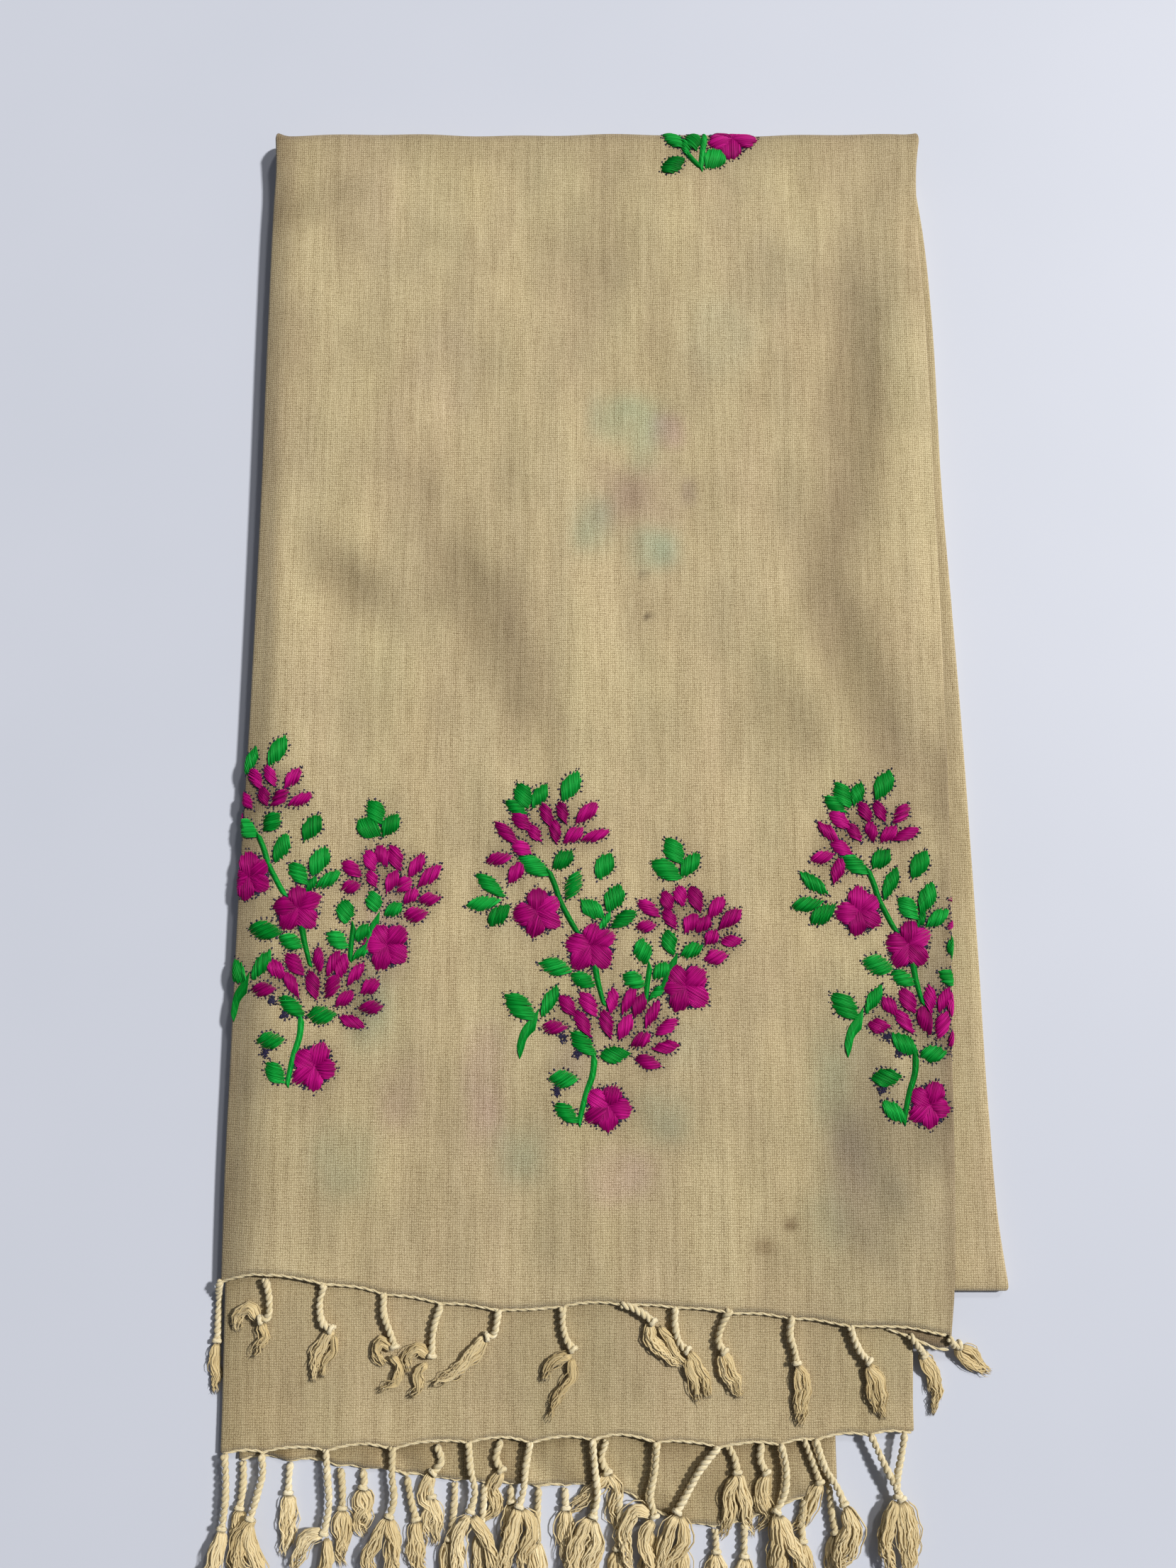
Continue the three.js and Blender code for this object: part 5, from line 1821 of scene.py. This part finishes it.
@dataclass
class Fringes:
    """All four rows of tassels."""

    lay: Lay

    def edge_line(self, end: str, start: float, stop: float, level: Callable) -> np.ndarray:
        """The thread along a cut end.

        Args:
            end: Which end.
            start: Its left end.
            stop: Its right end.
            level: Level of the cloth.

        Returns:
            Points along the thread.
        """
        x = np.arange(start, stop, 0.75)
        y = self.lay.end(end, x) - 0.4
        wobble = 0.22 * np.sin(x / 4.7) * np.sin(x / 13)
        return np.stack([x, y + wobble, level(x, y) - CLOTH / 2 + 0.1], axis=-1)

    def on_second(self, x: np.ndarray, y: np.ndarray) -> np.ndarray:
        """Level of what carries the front tassels: the second stretch, its tassels' level, or the table.

        Args:
            x: Places across.
            y: Places along.

        Returns:
            Level at each place.
        """
        inside = (x > SECOND_SIDES[0] - 1.5) & (x < SECOND_SIDES[1] + 1.5)
        over = inside & (y > self.lay.ends["second"].at(x))
        return np.where(over, self.lay.second(x, y) + REST_GAP, np.where(inside, TABLE_GAP + 3.5, TABLE_GAP))

    def on_third(self, x: np.ndarray, y: np.ndarray) -> np.ndarray:
        """Level of what carries the second row of tassels."""
        return np.full_like(x, TABLE_GAP + 2 * CORD_RADIUS + 0.5)

    def on_table(self, x: np.ndarray, y: np.ndarray) -> np.ndarray:
        """Level of what carries the third row: the table, or the third stretch under a curled tassel."""
        over = (x > THIRD_SIDES[0]) & (x < THIRD_SIDES[1]) & (y > self.lay.ends["third"].at(x) + 1)
        return np.where(over, self.lay.third(x, y) + 0.2, TABLE_GAP)

    def third_tassels(self) -> list[tuple]:
        """Routes of the third row's tassels, which are short and puffy.

        Returns:
            Places of each cord and of its locks.
        """
        chance = np.random.default_rng(41)
        made = list(THIRD_CURLED)
        for x, cord, tail, lean in THIRD_TASSELS:
            y = float(self.lay.end("third", np.array([x]))[0]) - 0.8
            slope = math.tan(math.radians(lean))
            bends = chance.uniform(-2.2, 2.2, 5)
            foot_x, foot_y = x + slope * cord, y - cord
            route = [(x, y), (x + slope * cord / 2 + bends[0] * 0.4, y - cord / 2), (foot_x, foot_y)]
            tip_x = foot_x + bends[3] + slope * tail
            longer = ((foot_x + bends[1], 0.35), (foot_x + bends[2], 0.7), (tip_x, 1.0))
            shorter = ((foot_x - bends[1], 0.3), (foot_x - 1.3 * bends[2], 0.6), (foot_x + bends[4], 0.85))
            tails = [
                [(foot_x, foot_y), *((at, foot_y - tail * share) for at, share in places)]
                for places in (longer, shorter)
            ]
            made.append((route, tails))
        return made

    def build(self, yarn: bpy.types.Material, loose: bpy.types.Material) -> dict[str, list[bpy.types.Object]]:
        """Makes the rows.

        Args:
            yarn: Material of the twisted yarn.
            loose: Material of the loose locks.

        Returns:
            Pieces of each row, by its name.
        """
        lay = self.lay
        inner = self.edge_line("front", 130, 158, lambda x, y: lay.front(x, y) - FOLDED_EDGE + CLOTH)
        places, past = np.array(RETURN_SLIP).T
        inner[:, 1] -= np.interp(inner[:, 0], places, past) + 0.2
        front = self.edge_line("front", -162.4, 157, lay.front)
        second = self.edge_line("second", -159.4, 141.4, lay.second)
        third = self.edge_line("third", -152, 107.4, lay.third)
        rows = (
            Fringe("front", lay, front, list(FRONT_TASSELS), self.on_second, seed=5, swell=0.85, shade=0.31),
            Fringe("inner", lay, inner, list(INNER_TASSELS), self.on_second, seed=6, swell=0.85, shade=0.26),
            Fringe("second", lay, second, list(SECOND_TASSELS), self.on_third, seed=7, fibres=50, swell=1.2),
            Fringe("third", lay, third, self.third_tassels(), self.on_table, seed=8, fibres=36, swell=1.2),
        )
        return {row.name: row.build(yarn, loose) for row in rows}


# ---------------------------------------------------------------- the studio


@dataclass
class Studio:
    """A pale table, two soft lights from the far right, light from all round, and the camera."""

    reach: float = 3.0
    # Name, place and side in metres, and power in watts of each soft light
    softboxes: tuple = (
        ("key_softbox", (8.75, 4.38, 10.25), 1.05, 2420.0),
        ("far_softbox", (6.0, 10.5, 11.0), 1.50, 440.0),
    )
    sky: float = 0.14  # strength of the light from all round
    lens: float = 27.05  # focal length in millimetres, for a sensor 36 mm wide
    camera_y: float = -50.8  # where the camera stands, in the frame's millimetres
    camera_height: float = 549.7
    lean: float = 7.125  # degrees from straight down

    def table(self) -> bpy.types.Object:
        """Makes the table under the shawl.

        Returns:
            The table.
        """
        mesh = grid_mesh("table", 6, 6, self.reach)
        mesh.materials.append(Tabletop().material())
        floor = put("table", mesh)
        return floor

    def lights(self) -> None:
        """Adds the soft lights and the light from all round."""
        for name, place, size, power in self.softboxes:
            lamp = bpy.data.lights.new(name, "AREA")
            lamp.shape, lamp.size, lamp.energy = "SQUARE", size, power
            lamp.color = (1.0, 0.98, 0.95)
            source = put(name, lamp)
            source.location = place
            source.rotation_euler = (-source.location).to_track_quat("-Z", "Y").to_euler()
        world = bpy.data.worlds.new("studio")
        world.use_nodes = True
        world.node_tree.nodes.clear()
        soft = {"Color": linear("#e9eefb"), "Strength": self.sky}
        sky = add_node(world.node_tree, "ShaderNodeBackground", feeds=soft)
        add_node(world.node_tree, "ShaderNodeOutputWorld", feeds={"Surface": sky.outputs[0]})
        bpy.context.scene.world = world
        bpy.context.scene.view_settings.view_transform = "Standard"

    def camera(self) -> bpy.types.Object:
        """Adds the camera, which looks down with a slight lean towards the far side.

        Returns:
            The camera.
        """
        lens = bpy.data.cameras.new("camera")
        lens.lens, lens.sensor_width = self.lens, 36.0
        camera = put("camera", lens)
        camera.location = (SHIFT_X, self.camera_y * MM, self.camera_height * MM)
        camera.rotation_euler = (math.radians(self.lean), 0.0, 0.0)
        bpy.context.scene.camera = camera
        return camera


@dataclass
class Shawl:
    """The whole folded shawl."""

    lay: Lay = field(default_factory=Lay)
    log: logging.Logger = field(default_factory=lambda: logging.getLogger("shawl"))

    def build(self) -> None:
        """Makes every stretch, spray and fringe, hides the solids that the stretches and fringes stand in
        for, and logs the sizes of the pieces.
        """
        linen = Linen("plain_woven_linen").material()
        # A darker copy of the linen, as painted shade on the hidden layers that show only in the folds at the
        # sides.
        shaded = Linen(
            "plain_woven_linen_painted_shade", gap="#6d5c40", thread="#ab9a76", raised="#cbbc97"
        ).material()
        yarn = Thread(
            "twisted_linen_yarn", "#8d7b55", "#cdbd94", "#f6ecd0",
            roughness=0.9, specular=0.15, sheen=0.2, fibre=0.22,
            bump=1.0, contrast=1.3, length=3.0, slant=0.5,
        ).material()
        loose = Thread(
            "loose_linen_fibre", "#8f7a50", "#c6b182", "#ecdcb4",
            roughness=0.85, specular=0.15, sheen=0.15, fibre=0.16, bump=0.5, contrast=0.9,
        ).material()
        floss = {"roughness": 0.5, "specular": 0.1, "sheen": 0.0, "fibre": 0.3, "bump": 0.3}
        petal = Thread("magenta_cotton_floss", "#42002c", "#930060", "#c9188c", **floss).material()
        leaf = Thread("green_cotton_floss", "#003810", "#007f26", "#22b84c", **floss).material()
        ink = Thread(
            "dark_ink", "#141126", "#25213a", "#3a3550",
            roughness=0.8, specular=0.2, sheen=0.0, fibre=0.3, bump=0.2,
        ).material()
        front = FrontStretch("front_cloth", self.lay, linen, 124, 208)
        turned = TurnedStretch("turned_cloth", self.lay, linen, 60, 130)
        second = SecondStretch("second_cloth", self.lay, linen, 110, 60)
        third = ThirdStretch("third_cloth", self.lay, linen, 110, 66)
        hidden = [
            HiddenLayer(
                "inner_cloth_low", self.lay, shaded, 30, 60,
                top=7.5, inset_left=2.6, inset_right=1.8,
            ),
            HiddenLayer(
                "inner_cloth_high", self.lay, shaded, 30, 60,
                top=9.0, inset_left=1.4, inset_right=3.6, far_y=318.0,
            ),
            HiddenLayer(
                "inner_cloth_middle", self.lay, shaded, 30, 60,
                radius=0.0, top=9.9, inset_left=49.0, inset_right=49.0, far_y=314.0,
            ),
        ]
        for stretch in (front, turned, second, third, *hidden):
            stretch.build()
            self.log.info("%s: %.3f by %.3f m of cloth", stretch.name, *stretch.flat)
        for stretch, node in (
            (front, "front_stretch"),
            (turned, "turned_stretch"),
            (second, "second_stretch"),
            (third, "third_stretch"),
            (hidden[0], "inner_layers"),
        ):
            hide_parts(node)
        rows = Fringes(self.lay).build(yarn, loose)
        sprays: list[bpy.types.Object] = []
        for name, x, y, turn, seed, chart in SPRAYS:
            sprays += Spray(name, (x, y), turn, seed, self.lay, chart).build(petal, leaf, ink)
        for piece in (*(each for row in rows.values() for each in row), *sprays):
            self.log.info("%s: %d faces", piece.name, len(piece.data.polygons))


def main() -> None:
    """Builds the studio and the shawl, which logs the size of each stretch of cloth."""
    logging.basicConfig(level=logging.INFO, format="%(message)s")
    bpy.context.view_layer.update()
    studio = Studio()
    studio.camera()
    studio.table()
    studio.lights()
    Shawl().build()


if __name__ == "__main__":
    main()
